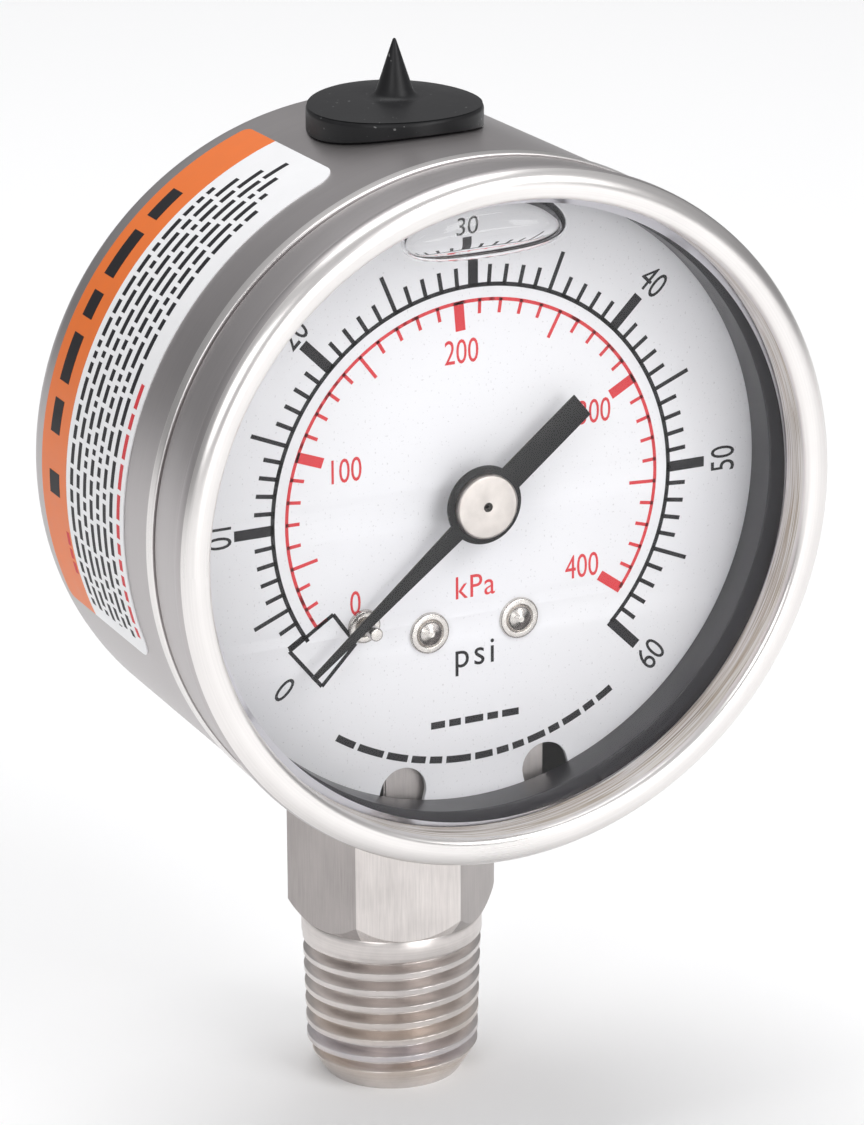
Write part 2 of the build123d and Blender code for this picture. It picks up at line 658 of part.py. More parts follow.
with BuildPart() as socket:
    with BuildSketch(Plane.XZ):
        with BuildLine():
            teeth = []
            crest_z = THREAD_TOP_Z - 0.2
            while crest_z - THREAD_PITCH / 2 > END_CHAMFER_Z * 0.45:
                crest_r = THREAD_END_R + TAPER * crest_z
                flat = 0.19 * THREAD_PITCH
                teeth.append((crest_r, crest_z + flat))
                teeth.append((crest_r, crest_z - flat))
                teeth.append((crest_r - THREAD_DEPTH * 0.78, crest_z - THREAD_PITCH / 2 + 0.06))
                teeth.append((crest_r - THREAD_DEPTH * 0.78, crest_z - THREAD_PITCH / 2 - 0.06))
                crest_z -= THREAD_PITCH
            Polyline(
                (0, HEX_BOTTOM_Z),
                (COLLAR_R, HEX_BOTTOM_Z),
                (COLLAR_R, THREAD_TOP_Z + 0.35),
                *teeth,
                (END_CHAMFER_R + 0.55, 1.0),
                (END_CHAMFER_R, 0),
                (0, 0),
                close=True,
            )
        make_face()
    revolve(axis=Axis.Z)
    with BuildSketch(Plane.XY.offset(HEX_BOTTOM_Z)):
        RegularPolygon(HEX_ACROSS_FLATS / 2, 6, major_radius=False, rotation=HEX_TURN)
    extrude(amount=BLOCK_BOTTOM_Z - HEX_BOTTOM_Z)
    # The hexagon's lower corners are turned off to a dome.
    with BuildSketch(Plane.XZ):
        with BuildLine():
            dome = ThreePointArc(
                dome_point(HEX_BOTTOM_Z),
                dome_point((HEX_BOTTOM_Z + HEX_DOME_TOP_Z) / 2),
                dome_point(HEX_DOME_TOP_Z),
            )
            Polyline(
                dome @ 1,
                (HEX_ACROSS_FLATS, HEX_DOME_TOP_Z),
                (HEX_ACROSS_FLATS, CUTTER_BOTTOM_Z),
                (HEX_DOME_BASE_R, CUTTER_BOTTOM_Z),
                dome @ 0,
            )
        make_face()
    revolve(axis=Axis.Z, mode=Mode.SUBTRACT)
    # Where it meets the case, the hexagon is cut to the case's round underside.
    case_envelope(SEAT_GAP, Mode.SUBTRACT)
    with Locations((0, 0, BLOCK_BOTTOM_Z)):
        Cylinder(NECK_R, 6.0, align=(Align.CENTER, Align.CENTER, Align.MAX))
    # Inside the case the socket is a rectangular block with a tongue for the movement.
    block_mid_x = (BLOCK_LEFT_X + BLOCK_RIGHT_X) / 2
    block_width = BLOCK_RIGHT_X - BLOCK_LEFT_X
    block_depth = BLOCK_REAR_Y - BLOCK_FRONT_Y
    block_height = BLOCK_TOP_Z - BLOCK_BOTTOM_Z
    with Locations((block_mid_x, (BLOCK_FRONT_Y + BLOCK_REAR_Y) / 2, BLOCK_BOTTOM_Z)):
        Box(block_width, block_depth, block_height, align=(Align.CENTER, Align.CENTER, Align.MIN))
    tongue_depth = TONGUE_REAR_Y - TONGUE_FRONT_Y
    tongue_height = TONGUE_TOP_Z - BLOCK_TOP_Z
    with Locations((block_mid_x, (TONGUE_FRONT_Y + TONGUE_REAR_Y) / 2, BLOCK_TOP_Z)):
        Box(block_width, tongue_depth, tongue_height, align=(Align.CENTER, Align.CENTER, Align.MIN))
    # Pressure passage: a wide bore in the stem, a channel above it and a cross hole to the tube.
    Cylinder(BORE_R, CHANNEL_BOTTOM_Z, align=(Align.CENTER, Align.CENTER, Align.MIN), mode=Mode.SUBTRACT)
    tube_foot_z = DIAL_Z - TUBE_R + 0.4
    with Locations((0, 0, CHANNEL_BOTTOM_Z)):
        Cylinder(
            CHANNEL_R,
            tube_foot_z - CHANNEL_BOTTOM_Z,
            align=(Align.CENTER, Align.CENTER, Align.MIN),
            mode=Mode.SUBTRACT,
        )
    with Locations(Location((0, 0, tube_foot_z), (0, -90, 0))):
        Cylinder(0.8, 6.0, align=(Align.CENTER, Align.CENTER, Align.MIN), mode=Mode.SUBTRACT)
    # The tube's foot is brazed into a slot of its own shape.
    with BuildSketch(tube_section_plane(TUBE_START_ANGLE)):
        with Locations(Location((TUBE_R, 0, 0), (0, 0, 90))):
            SlotOverall(TUBE_WIDTH, TUBE_THICKNESS)
    revolve(axis=DIAL_AXIS, revolution_arc=20.0, mode=Mode.SUBTRACT)
    base_holes = [(x, TONGUE_FRONT_Y, DIAL_Z + z) for x, z in BASE_SCREWS]
    with Locations(*[Location(p, (-90, 0, 0)) for p in base_holes]):
        Cylinder(SCREW_R, BASE_SCREW_DEPTH, align=(Align.CENTER, Align.CENTER, Align.MIN), mode=Mode.SUBTRACT)

with BuildPart() as socket_seal:
    with Locations((0, 0, BLOCK_BOTTOM_Z)):
        Cylinder(SEAL_R, 4.0, align=(Align.CENTER, Align.CENTER, Align.MAX))
        Cylinder(NECK_R, 4.0, align=(Align.CENTER, Align.CENTER, Align.MAX), mode=Mode.SUBTRACT)
    case_envelope(0.0, Mode.INTERSECT)

RESTRICTOR_Z = 7.0
RESTRICTOR_LENGTH = 4.0

with BuildPart() as restrictor_screw:
    with Locations((0, 0, RESTRICTOR_Z)):
        Cylinder(BORE_R, RESTRICTOR_LENGTH, align=(Align.CENTER, Align.CENTER, Align.MIN))
        Cylinder(
            0.4,
            RESTRICTOR_LENGTH,
            align=(Align.CENTER, Align.CENTER, Align.MIN),
            mode=Mode.SUBTRACT,
        )
        Box(2 * BORE_R + 0.2, 0.6, 0.8, align=(Align.CENTER, Align.CENTER, Align.MIN), mode=Mode.SUBTRACT)

# --- fill plug ------------------------------------------------------------------------------------

PLUG_STEM_BOTTOM_Z = DIAL_Z + CASE_INNER_R - 2.6

with BuildPart() as fill_plug:
    with Locations((0, PLUG_Y, DIAL_Z + 24.0)):
        Cylinder(PLUG_R, 8.0, align=(Align.CENTER, Align.CENTER, Align.MIN))
    with Locations(Location((0, 0, DIAL_Z), (90, 0, 0))):
        Cylinder(PLUG_TOP_R, 40.0, mode=Mode.INTERSECT)
    case_envelope(PLUG_GAP, Mode.SUBTRACT)
    fillet(fill_plug.faces().sort_by(Axis.Z)[-1].edges(), 0.3)
    with Locations((0, PLUG_Y, PLUG_STEM_BOTTOM_Z)):
        Cylinder(PLUG_STEM_R, DIAL_Z + 27.0 - PLUG_STEM_BOTTOM_Z, align=(Align.CENTER, Align.CENTER, Align.MIN))
    nib_bottom = DIAL_Z + PLUG_TOP_R - 0.4
    with Locations((0, PLUG_Y, nib_bottom)):
        Cone(NIB_R, NIB_TIP_R, NIB_TOP_Z - nib_bottom, align=(Align.CENTER, Align.CENTER, Align.MIN))

# --- write the parts ------------------------------------------------------------------------------

PIECES = {
    "case_shell": case_shell,
    "bezel_ring": bezel_ring,
    "window_lens": window_lens,
    "lens_gasket": lens_gasket,
    "side_label": side_label,
    "dial_plate": dial_plate,
    "dial_screws": dial_screws,
    "dial_spacers": dial_spacers,
    "stop_pin": stop_pin,
    "pointer": pointer,
    "pointer_cap": pointer_cap,
    "pinion_arbor": pinion_arbor,
    "sector_gear": sector_gear,
    "sector_arbor": sector_arbor,
    "tail_pin": tail_pin,
    "link_bar": link_bar,
    "tip_pin": tip_pin,
    "tube_tip": tube_tip,
    "bourdon_tube": bourdon_tube,
    "movement_back_plate": movement_back_plate,
    "movement_front_plate": movement_front_plate,
    "movement_pillars": movement_pillars,
    "pillar_screws": pillar_screws,
    "base_screws": base_screws,
    "hairspring": hairspring,
    "hairspring_collet": hairspring_collet,
    "hairspring_stud": hairspring_stud,
    "socket": socket,
    "socket_seal": socket_seal,
    "restrictor_screw": restrictor_screw,
    "fill_plug": fill_plug,
}

os.makedirs("parts", exist_ok=True)
for name, piece in PIECES.items():
    piece.part.label = name
    export_step(piece.part, f"parts/{name}.step")
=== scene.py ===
"""Looks of the liquid-filled dial pressure gauge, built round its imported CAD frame.

Sizes are written in millimetres in the row frame and scaled to metres when a mesh is made. The dial
faces -Y, its axis is DIAL_Z above the end of the stem, and (u, w) is right and up from that axis.
"""

import json
import random
from math import asin, atan2, cos, hypot, pi, radians, sin, sqrt, tan

import bmesh
import bpy
from mathutils import Matrix, Vector


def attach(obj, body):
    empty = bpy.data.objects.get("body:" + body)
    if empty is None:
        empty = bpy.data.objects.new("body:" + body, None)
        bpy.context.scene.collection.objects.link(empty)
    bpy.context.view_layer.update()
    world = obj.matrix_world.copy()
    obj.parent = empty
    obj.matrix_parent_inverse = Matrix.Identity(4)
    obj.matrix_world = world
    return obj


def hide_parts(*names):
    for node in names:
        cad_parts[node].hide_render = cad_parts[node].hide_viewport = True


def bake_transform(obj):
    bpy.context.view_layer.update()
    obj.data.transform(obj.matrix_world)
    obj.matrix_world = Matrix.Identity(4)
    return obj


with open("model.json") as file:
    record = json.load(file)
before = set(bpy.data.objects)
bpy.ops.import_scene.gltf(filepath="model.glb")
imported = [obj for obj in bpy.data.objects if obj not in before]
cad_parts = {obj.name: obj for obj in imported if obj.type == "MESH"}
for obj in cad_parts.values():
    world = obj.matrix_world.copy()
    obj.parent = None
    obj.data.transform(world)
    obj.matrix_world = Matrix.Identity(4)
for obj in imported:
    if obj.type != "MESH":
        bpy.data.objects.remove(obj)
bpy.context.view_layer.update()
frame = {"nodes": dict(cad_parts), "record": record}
rng = random.Random(7)

MM = 0.001
DIAL_Z = 51.0
DIAL_Y = -11.9
LENS_FRONT_Y = -19.3
LENS_BACK_Y = -16.1
POINTER_Y = -14.65
CASE_INNER_R = 24.75
TUBE_R = 19.5
ARC_STEP = 12.0  # degrees between the points of a rounded corner


# --- shaders --------------------------------------------------------------------------------------


class Shader:
    """A material's node tree, built a node at a time."""

    def __init__(self, name):
        self.material = bpy.data.materials.new(name)
        self.material.use_nodes = True
        self.tree = self.material.node_tree
        self.tree.nodes.clear()
        self.output = self.node("ShaderNodeOutputMaterial")

    def node(self, kind, settings=None, **inputs):
        """Adds a node. Inputs are socket names with _ for a space, each a value or another socket."""
        made = self.tree.nodes.new(kind)
        for key, value in (settings or {}).items():
            setattr(made, key, value)
        for key, value in inputs.items():
            name = key.replace("_", " ")
            socket = made.inputs[int(name[1:])] if name[1:].isdigit() else made.inputs[name]
            if isinstance(value, bpy.types.NodeSocket):
                self.tree.links.new(value, socket)
            else:
                socket.default_value = value
        return made

    def math(self, operation, a, b=0.0, c=0.0):
        return self.node("ShaderNodeMath", {"operation": operation}, i0=a, i1=b, i2=c).outputs[0]

    def place(self):
        """Object coordinates, which are the row frame in metres."""
        return self.node("ShaderNodeTexCoord").outputs["Object"]

    def split(self, vector):
        return self.node("ShaderNodeSeparateXYZ", i0=vector).outputs

    def join(self, x, y, z):
        return self.node("ShaderNodeCombineXYZ", i0=x, i1=y, i2=z).outputs[0]

    def scaled(self, values, factors):
        """A vector of three values, each multiplied by its own factor."""
        return self.join(*[self.math("MULTIPLY", value, factor) for value, factor in zip(values, factors)])

    def noise(self, vector, scale, detail=2.0, roughness=0.5):
        made = self.node("ShaderNodeTexNoise", Vector=vector, Scale=scale, Detail=detail, Roughness=roughness)
        return made.outputs[0]

    def ramp(self, factor, stops):
        made = self.node("ShaderNodeValToRGB", i0=factor)
        band = made.color_ramp
        while len(band.elements) < len(stops):
            band.elements.new(1.0)
        for element, (at, colour) in zip(band.elements, stops):
            element.position = at
            element.color = (*colour, 1.0)
        return made.outputs[0]

    def levels(self, factor, low, high, start=0.0, end=1.0):
        made = self.node(
            "ShaderNodeMapRange", {"clamp": True}, i0=factor, i1=start, i2=end, i3=low, i4=high
        )
        return made.outputs[0]

    def bump(self, height, strength, distance):
        return self.node("ShaderNodeBump", Height=height, Strength=strength, Distance=distance).outputs[0]

    def mix(self, factor, a, b, blend="MIX"):
        made = self.node("ShaderNodeMix", {"data_type": "RGBA", "blend_type": blend})
        for index, value in ((0, factor), (6, a), (7, b)):
            if isinstance(value, bpy.types.NodeSocket):
                self.tree.links.new(value, made.inputs[index])
            else:
                made.inputs[index].default_value = value
        return made.outputs[2]

    def surface(self, shader):
        self.tree.links.new(shader, self.output.inputs["Surface"])
        return self.material

    def principled(self, **inputs):
        return self.surface(self.node("ShaderNodeBsdfPrincipled", **inputs).outputs[0])


def tinted(colour, share):
    """A colour darkened and lightened by a share, as two ramp stops."""
    dark = tuple(max(0.0, c * (1 - share)) for c in colour)
    light = tuple(min(1.0, c * (1 + share)) for c in colour)
    return [(0.3, dark), (0.7, light)]


def drawn_steel(name, colour, roughness, line_height=0.35, streak=0.06):
    """Stainless steel with fine lines running round the dial's axis."""
    s = Shader(name)
    x, y, z = s.split(s.place())
    angle = s.math("ARCTAN2", s.math("SUBTRACT", z, DIAL_Z * MM), x)
    across = s.math("MULTIPLY", x, x)
    rise = s.math("POWER", s.math("SUBTRACT", z, DIAL_Z * MM), 2.0)
    radius = s.math("SQRT", s.math("ADD", across, rise))
    lines = s.noise(s.scaled((angle, y, radius), (1.3, 9000.0, 9000.0)), 1.0, 3.0)
    cloud = s.noise(s.place(), 90.0, 4.0)
    tone = s.math("ADD", s.math("MULTIPLY", lines, 0.45), s.math("MULTIPLY", cloud, 0.55))
    return s.principled(
        Base_Color=s.ramp(tone, tinted(colour, streak)),
        Metallic=1.0,
        Roughness=s.levels(tone, roughness - 0.05, roughness + 0.07),
        Normal=s.bump(lines, line_height, 0.00001),
    )


def mouth_steel_painted_reflections():
    """Satin inner wall of the bezel's mouth, with painted reflections of the window's edge streaked gold and
    grey round the dial.
    """
    s = Shader("mouth_steel_painted_reflections")
    x, y, z = s.split(s.place())
    angle = s.math("ARCTAN2", s.math("SUBTRACT", z, DIAL_Z * MM), x)
    lines = s.noise(s.join(s.math("MULTIPLY", angle, 0.9), s.math("MULTIPLY", y, 2600.0), 0.0), 1.0, 3.0, 0.7)
    # The gold, brown and pale stops are painted reflections of the window's bevel.
    stops = [
        (0.34, (0.30, 0.24, 0.18)),
        (0.42, (0.74, 0.69, 0.62)),
        (0.50, (0.86, 0.84, 0.82)),
        (0.57, (0.44, 0.35, 0.24)),
        (0.66, (0.88, 0.87, 0.86)),
    ]
    return s.principled(
        Base_Color=s.ramp(lines, stops),
        Metallic=0.45,
        Roughness=s.levels(lines, 0.28, 0.42),
        Normal=s.bump(lines, 0.2, 0.00001),
    )


def turned_steel(name, colour, roughness, heat=False):
    """Steel turned about the vertical axis of the stem, with optional heat colours low down."""
    s = Shader(name)
    place = s.place()
    x, y, z = s.split(place)
    lines = s.noise(s.scaled((x, y, z), (60.0, 60.0, 9000.0)), 1.0, 3.0)
    cloud = s.noise(place, 320.0, 5.0, 0.6)
    tone = s.math("ADD", s.math("MULTIPLY", lines, 0.4), s.math("MULTIPLY", cloud, 0.6))
    shade = s.ramp(tone, tinted(colour, 0.16))
    if heat:
        wavy = s.math("ADD", z, s.math("MULTIPLY", s.noise(place, 160.0, 2.0), 0.0016))
        band = s.levels(wavy, 0.0, 1.0, 0.001, 0.0085)
        grey = (0.5, 0.5, 0.5)
        tint = s.ramp(
            band,
            [
                (0.0, grey),
                (0.2, (0.56, 0.46, 0.36)),
                (0.38, (0.42, 0.46, 0.56)),
                (0.6, (0.56, 0.5, 0.44)),
                (1.0, grey),
            ],
        )
        shade = s.mix(0.5, shade, tint, "OVERLAY")
    return s.principled(
        Base_Color=shade,
        Metallic=1.0,
        Roughness=s.levels(tone, roughness - 0.06, roughness + 0.1),
        Normal=s.bump(tone, 0.35, 0.00002),
    )


def brushed_flats(name, colour, roughness):
    """Steel with short vertical grain, as on a milled hexagon or block."""
    s = Shader(name)
    place = s.place()
    x, y, z = s.split(place)
    grain = s.noise(s.scaled((x, y, z), (7000.0, 7000.0, 350.0)), 1.0, 3.0)
    cloud = s.noise(place, 260.0, 4.0)
    tone = s.math("ADD", s.math("MULTIPLY", grain, 0.5), s.math("MULTIPLY", cloud, 0.5))
    return s.principled(
        Base_Color=s.ramp(tone, tinted(colour, 0.15)),
        Metallic=1.0,
        Roughness=s.levels(tone, roughness - 0.06, roughness + 0.1),
        Normal=s.bump(grain, 0.4, 0.00001),
    )


def metal(name, colour, roughness, scale=900.0):
    """Plain bright metal with a faintly mottled surface."""
    s = Shader(name)
    cloud = s.noise(s.place(), scale, 4.0)
    return s.principled(
        Base_Color=s.ramp(cloud, tinted(colour, 0.08)),
        Metallic=1.0,
        Roughness=s.levels(cloud, roughness - 0.05, roughness + 0.08),
        Normal=s.bump(cloud, 0.15, 0.00001),
    )


def coated(name, colour, roughness, share=0.05, scale=700.0, height=0.1, specular=0.5):
    """Paint, ink, rubber or film: a coloured surface with a fine texture."""
    s = Shader(name)
    place = s.place()
    cloud = s.noise(place, scale, 4.0)
    wide = s.noise(place, scale / 9.0, 2.0)
    tone = s.math("ADD", s.math("MULTIPLY", cloud, 0.5), s.math("MULTIPLY", wide, 0.5))
    return s.principled(
        Base_Color=s.ramp(tone, tinted(colour, share)),
        Roughness=s.levels(cloud, max(0.02, roughness - 0.05), min(1.0, roughness + 0.08)),
        Specular_IOR_Level=specular,
        Normal=s.bump(wide, height, 0.00001),
    )


def dusty(name, colour, dust, roughness, amount, specular):
    """A dark surface with sparse light specks of dust."""
    s = Shader(name)
    place = s.place()
    specks = s.levels(s.noise(place, 2600.0, 1.0), 0.0, 1.0, amount, amount + 0.04)
    cloud = s.noise(place, 500.0, 3.0)
    shade = s.mix(specks, s.ramp(cloud, tinted(colour, 0.15)), (*dust, 1.0))
    return s.principled(
        Base_Color=shade,
        Roughness=s.levels(cloud, roughness - 0.05, roughness + 0.1),
        Specular_IOR_Level=specular,
        Normal=s.bump(cloud, 0.05, 0.00001),
    )


def clear(name, ior, tint=(1.0, 1.0, 1.0), roughness=0.0):
    """Glass that lets lamps through to what is behind it."""
    s = Shader(name)
    waves = s.noise(s.place(), 40.0, 1.0)
    glass = s.node(
        "ShaderNodeBsdfGlass",
        Color=(*tint, 1.0),
        Roughness=roughness,
        IOR=ior,
        Normal=s.bump(waves, 0.02, 0.00001),
    ).outputs[0]
    through = s.node("ShaderNodeBsdfTransparent", Color=(*tint, 1.0)).outputs[0]
    path = s.node("ShaderNodeLightPath").outputs
    bounced = s.node("ShaderNodeMixShader", i0=path["Is Diffuse Ray"], i1=glass, i2=through).outputs[0]
    seen = s.node("ShaderNodeMixShader", i0=path["Is Shadow Ray"], i1=bounced, i2=through).outputs[0]
    return s.surface(seen)


def unseen(name):
    """Where the window touches the liquid there is no visible surface."""
    s = Shader(name)
    tone = s.ramp(s.noise(s.place(), 60.0), [(0.0, (0.995, 0.995, 0.995)), (1.0, (1.0, 1.0, 1.0))])
    return s.surface(s.node("ShaderNodeBsdfTransparent", Color=tone).outputs[0])


def printed_white():
    """Matt white dial paint with a little grain and a few specks."""
    s = Shader("dial_white")
    place = s.place()
    cloud = s.noise(place, 1500.0, 4.0)
    wide = s.noise(place, 60.0, 2.0)
    shade = s.ramp(wide, [(0.3, (0.80, 0.80, 0.83)), (0.7, (0.835, 0.835, 0.855))])
    specks = s.levels(s.noise(place, 5200.0, 0.0), 0.0, 0.30, 0.74, 0.80)
    return s.principled(
        Base_Color=s.mix(specks, shade, (0.35, 0.34, 0.35, 1.0)),
        Roughness=s.levels(cloud, 0.42, 0.55),
        Specular_IOR_Level=0.3,
        Normal=s.bump(cloud, 0.05, 0.00001),
    )


LOOK = {
    "case_steel": drawn_steel("case_steel", (0.47, 0.445, 0.445), 0.36),
    "bezel_steel": drawn_steel("bezel_steel", (0.81, 0.785, 0.77), 0.28, 0.35, 0.07),
    # A darker copy of the bezel steel, painted shade for the bezel's skirt and the bead's outer side.
    "skirt_steel_painted_shade": drawn_steel("skirt_steel_painted_shade", (0.50, 0.475, 0.475), 0.36, 0.2, 0.06),
    "mouth_steel_painted_reflections": mouth_steel_painted_reflections(),
    "window": clear("window", 1.38),
    "window_edge": clear("window_edge", 1.38, (0.90, 0.89, 0.92), 0.30),
    "window_wet": unseen("window_wet"),
    "bubble": clear("bubble", 0.72),
    "black_rubber": dusty("black_rubber", (0.013, 0.012, 0.016), (0.12, 0.12, 0.13), 0.30, 0.80, 0.5),
    "plug_rubber": dusty("plug_rubber", (0.009, 0.009, 0.010), (0.16, 0.16, 0.16), 0.40, 0.74, 0.3),
    "label_white": coated("label_white", (0.86, 0.86, 0.87), 0.42, 0.02),
    "label_orange": coated("label_orange", (0.80, 0.17, 0.02), 0.4, 0.04),
    "ink_black": coated("ink_black", (0.012, 0.011, 0.014), 0.5, 0.2, specular=0.25),
    "ink_red": coated("ink_red", (0.66, 0.045, 0.055), 0.5, 0.08, specular=0.25),
    "dial_white": printed_white(),
    "pointer_black": dusty("pointer_black", (0.007, 0.007, 0.008), (0.2, 0.2, 0.2), 0.46, 0.76, 0.3),
    "cap_metal": metal("cap_metal", (0.60, 0.56, 0.53), 0.36),
    "screw_steel": metal("screw_steel", (0.66, 0.63, 0.60), 0.24),
    "movement_steel": metal("movement_steel", (0.62, 0.60, 0.58), 0.28),
    "movement_brass": metal("movement_brass", (0.75, 0.55, 0.25), 0.3),
    "spring_bronze": metal("spring_bronze", (0.70, 0.48, 0.26), 0.3),
    "tube_steel": metal("tube_steel", (0.55, 0.52, 0.49), 0.3),
    "stem_steel": turned_steel("stem_steel", (0.68, 0.64, 0.62), 0.33, heat=True),
    "hex_steel": brushed_flats("hex_steel", (0.42, 0.39, 0.38), 0.40),
    # A lighter copy of hex_steel: painted light for the hexagon's front flat.
    "hex_front_painted_light": brushed_flats("hex_front_painted_light", (0.71, 0.67, 0.65), 0.46),
    # Painted shade for the shallow dimple in the pointer cap's centre.
    "cap_hole_painted_shade": coated("cap_hole_painted_shade", (0.05, 0.045, 0.04), 0.7, 0.2),
}


# --- mesh helpers ---------------------------------------------------------------------------------


def piece(name, bm, look, body, stands_for=(), sharp=32.0):
    """Turns a bmesh in millimetres into a shaded object that rides on a body."""
    bmesh.ops.remove_doubles(bm, verts=bm.verts, dist=1e-5)
    bmesh.ops.dissolve_degenerate(bm, edges=bm.edges, dist=1e-6)
    bmesh.ops.recalc_face_normals(bm, faces=bm.faces)
    bmesh.ops.scale(bm, vec=(MM, MM, MM), verts=bm.verts)
    mesh = bpy.data.meshes.new(name)
    bm.to_mesh(mesh)
    bm.free()
    for face in mesh.polygons:
        face.use_smooth = True
    mesh.set_sharp_from_angle(angle=radians(sharp))
    for key in [look] if isinstance(look, str) else look:
        mesh.materials.append(LOOK[key])
    obj = bpy.data.objects.new(name, mesh)
    bpy.context.scene.collection.objects.link(obj)
    if body:
        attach(obj, body)
    if stands_for:
        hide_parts(*([stands_for] if isinstance(stands_for, str) else stands_for))
    return obj


def rounded(corners, closed=True):
    """Points of an outline of (a, b, radius) corners, each corner turned into short edges."""
    points = []
    count = len(corners)
    for i, (a, b, radius) in enumerate(corners):
        here = Vector((a, b))
        if radius == 0 or (not closed and i in (0, count - 1)):
            points.append((a, b))
            continue
        back = (Vector(corners[i - 1][:2]) - here).normalized()
        ahead = (Vector(corners[(i + 1) % count][:2]) - here).normalized()
        half = back.angle(ahead) / 2
        centre = here + (back + ahead).normalized() * (radius / sin(half))
        start = here + back * (radius / tan(half)) - centre
        end = here + ahead * (radius / tan(half)) - centre
        first = atan2(start.y, start.x)
        sweep = (atan2(end.y, end.x) - first + pi) % (2 * pi) - pi
        steps = max(2, round(abs(sweep) / radians(ARC_STEP)))
        for k in range(steps + 1):
            angle = first + sweep * k / steps
            points.append((centre.x + radius * cos(angle), centre.y + radius * sin(angle)))
    return points


def grid(bm, rows, wrap_rows=False, wrap_columns=False):
    """Quads over rows of points of equal length; a wrapped side joins its last line to its first."""
    made = [[bm.verts.new(p) for p in row] for row in rows]
    height = len(made)
    width = len(made[0])
    for i in range(height if wrap_rows else height - 1):
        for j in range(width if wrap_columns else width - 1):
            a, b = made[i][j], made[i][(j + 1) % width]
            c, d = made[(i + 1) % height][(j + 1) % width], made[(i + 1) % height][j]
            bm.faces.new((a, b, c, d))
    return made


def on_dial_axis(r, y, angle):
    """Point at a radius, a depth and an angle clockwise from the top of the dial."""
    return (r * sin(angle), y, DIAL_Z + r * cos(angle))


def lathe(outline, steps=256, stem=None, bm=None):
    """A closed outline of (radius, along) turned about the dial's axis, or a vertical axis at stem."""
    bm = bm or bmesh.new()
    rows = []
    for k in range(steps):
        angle = 2 * pi * k / steps
        if stem is None:
            rows.append([on_dial_axis(r, a, angle) for r, a in outline])
        else:
            rows.append([(stem[0] + r * cos(angle), stem[1] + r * sin(angle), a) for r, a in outline])
    grid(bm, rows, wrap_rows=True, wrap_columns=True)
    return bm


def turned_at(outline, u, w, steps=64, bm=None):
    """A closed outline of (radius, depth) turned about an axis parallel to Y through (u, w)."""
    bm = bm or bmesh.new()
    rows = []
    for k in range(steps):
        angle = 2 * pi * k / steps
        rows.append([(u + r * cos(angle), y, DIAL_Z + w + r * sin(angle)) for r, y in outline])
    grid(bm, rows, wrap_rows=True, wrap_columns=True)
    return bm


def drilled(bm, cutters):
    """The solid with round holes cut out of it; each cutter is (start, end, radius) in millimetres."""
    mesh = bpy.data.meshes.new("solid")
    bm.to_mesh(mesh)
    bm.free()
    solid = bpy.data.objects.new("solid", mesh)
    bpy.context.scene.collection.objects.link(solid)
    extra = []
    for start, end, radius in cutters:
        a, b = Vector(start), Vector(end)
        axis = b - a
        tool = bmesh.new()
        bmesh.ops.create_cone(
            tool, cap_ends=True, segments=96, radius1=radius, radius2=radius, depth=axis.length
        )
        turn = Vector((0, 0, 1)).rotation_difference(axis).to_matrix().to_4x4()
        bmesh.ops.transform(tool, matrix=Matrix.Translation((a + b) / 2) @ turn, verts=tool.verts)
        shape = bpy.data.meshes.new("tool")
        tool.to_mesh(shape)
        tool.free()
        cutter = bpy.data.objects.new("tool", shape)
        bpy.context.scene.collection.objects.link(cutter)
        extra.append(cutter)
        modifier = solid.modifiers.new("cut", "BOOLEAN")
        modifier.operation = "DIFFERENCE"
        modifier.solver = "EXACT"
        modifier.object = cutter
    result = bmesh.new()
    result.from_object(solid, bpy.context.evaluated_depsgraph_get())
    for obj in [solid, *extra]:
        bpy.data.objects.remove(obj)
    return result


def curve_mesh(curve):
    """The filled, extruded form of a 2D curve or text, as a bmesh in the curve's own units."""
    obj = bpy.data.objects.new("shape", curve)
    bpy.context.scene.collection.objects.link(obj)
    bm = bmesh.new()
    bm.from_mesh(bpy.data.meshes.new_from_object(obj.evaluated_get(bpy.context.evaluated_depsgraph_get())))
    bpy.data.objects.remove(obj)
    return bm


FACE_FRONT = Matrix(((1, 0, 0, 0), (0, 0, -1, 0), (0, 1, 0, DIAL_Z), (0, 0, 0, 1)))


def flat(loops, y_back, thickness, bevel=0.0):
    """A plate facing the front: an outer loop of (u, w) points, then loops of holes."""
    curve = bpy.data.curves.new("plate", "CURVE")
    curve.dimensions = "2D"
    curve.fill_mode = "BOTH"
    curve.extrude = thickness / 2 - bevel
    curve.bevel_depth = bevel
    curve.bevel_resolution = 1
    curve.offset = -bevel
    for loop in loops:
        spline = curve.splines.new("POLY")
        spline.points.add(len(loop) - 1)
        for point, (u, w) in zip(spline.points, loop):
            point.co = (u, w, 0, 1)
        spline.use_cyclic_u = True
    bm = curve_mesh(curve)
    move = Matrix.Translation((0, y_back - thickness / 2, 0)) @ FACE_FRONT
    bmesh.ops.transform(bm, matrix=move, verts=bm.verts)
    return bm


def circle(radius, u=0.0, w=0.0, steps=64):
    turns = [2 * pi * k / steps for k in range(steps)]
    return [(u + radius * cos(turn), w + radius * sin(turn)) for turn in turns]


def prism(bm, loop, y_back, thickness):
    """Adds a closed prism over one loop of (u, w) points to the mesh."""
    back = [bm.verts.new((u, y_back, DIAL_Z + w)) for u, w in loop]
    front = [bm.verts.new((u, y_back - thickness, DIAL_Z + w)) for u, w in loop]
    bm.faces.new(back)
    bm.faces.new(front)
    for i in range(len(loop)):
        j = (i + 1) % len(loop)
        bm.faces.new((back[i], back[j], front[j], front[i]))


def clock(radius, angle):
    """(u, w) at a radius and an angle in degrees clockwise from the top."""
    return (radius * sin(radians(angle)), radius * cos(radians(angle)))


def add(bm, other):
    """Copies another bmesh into the first, and frees it."""
    mesh = bpy.data.meshes.new("part")
    other.to_mesh(mesh)
    other.free()
    bm.from_mesh(mesh)
    bpy.data.meshes.remove(mesh)


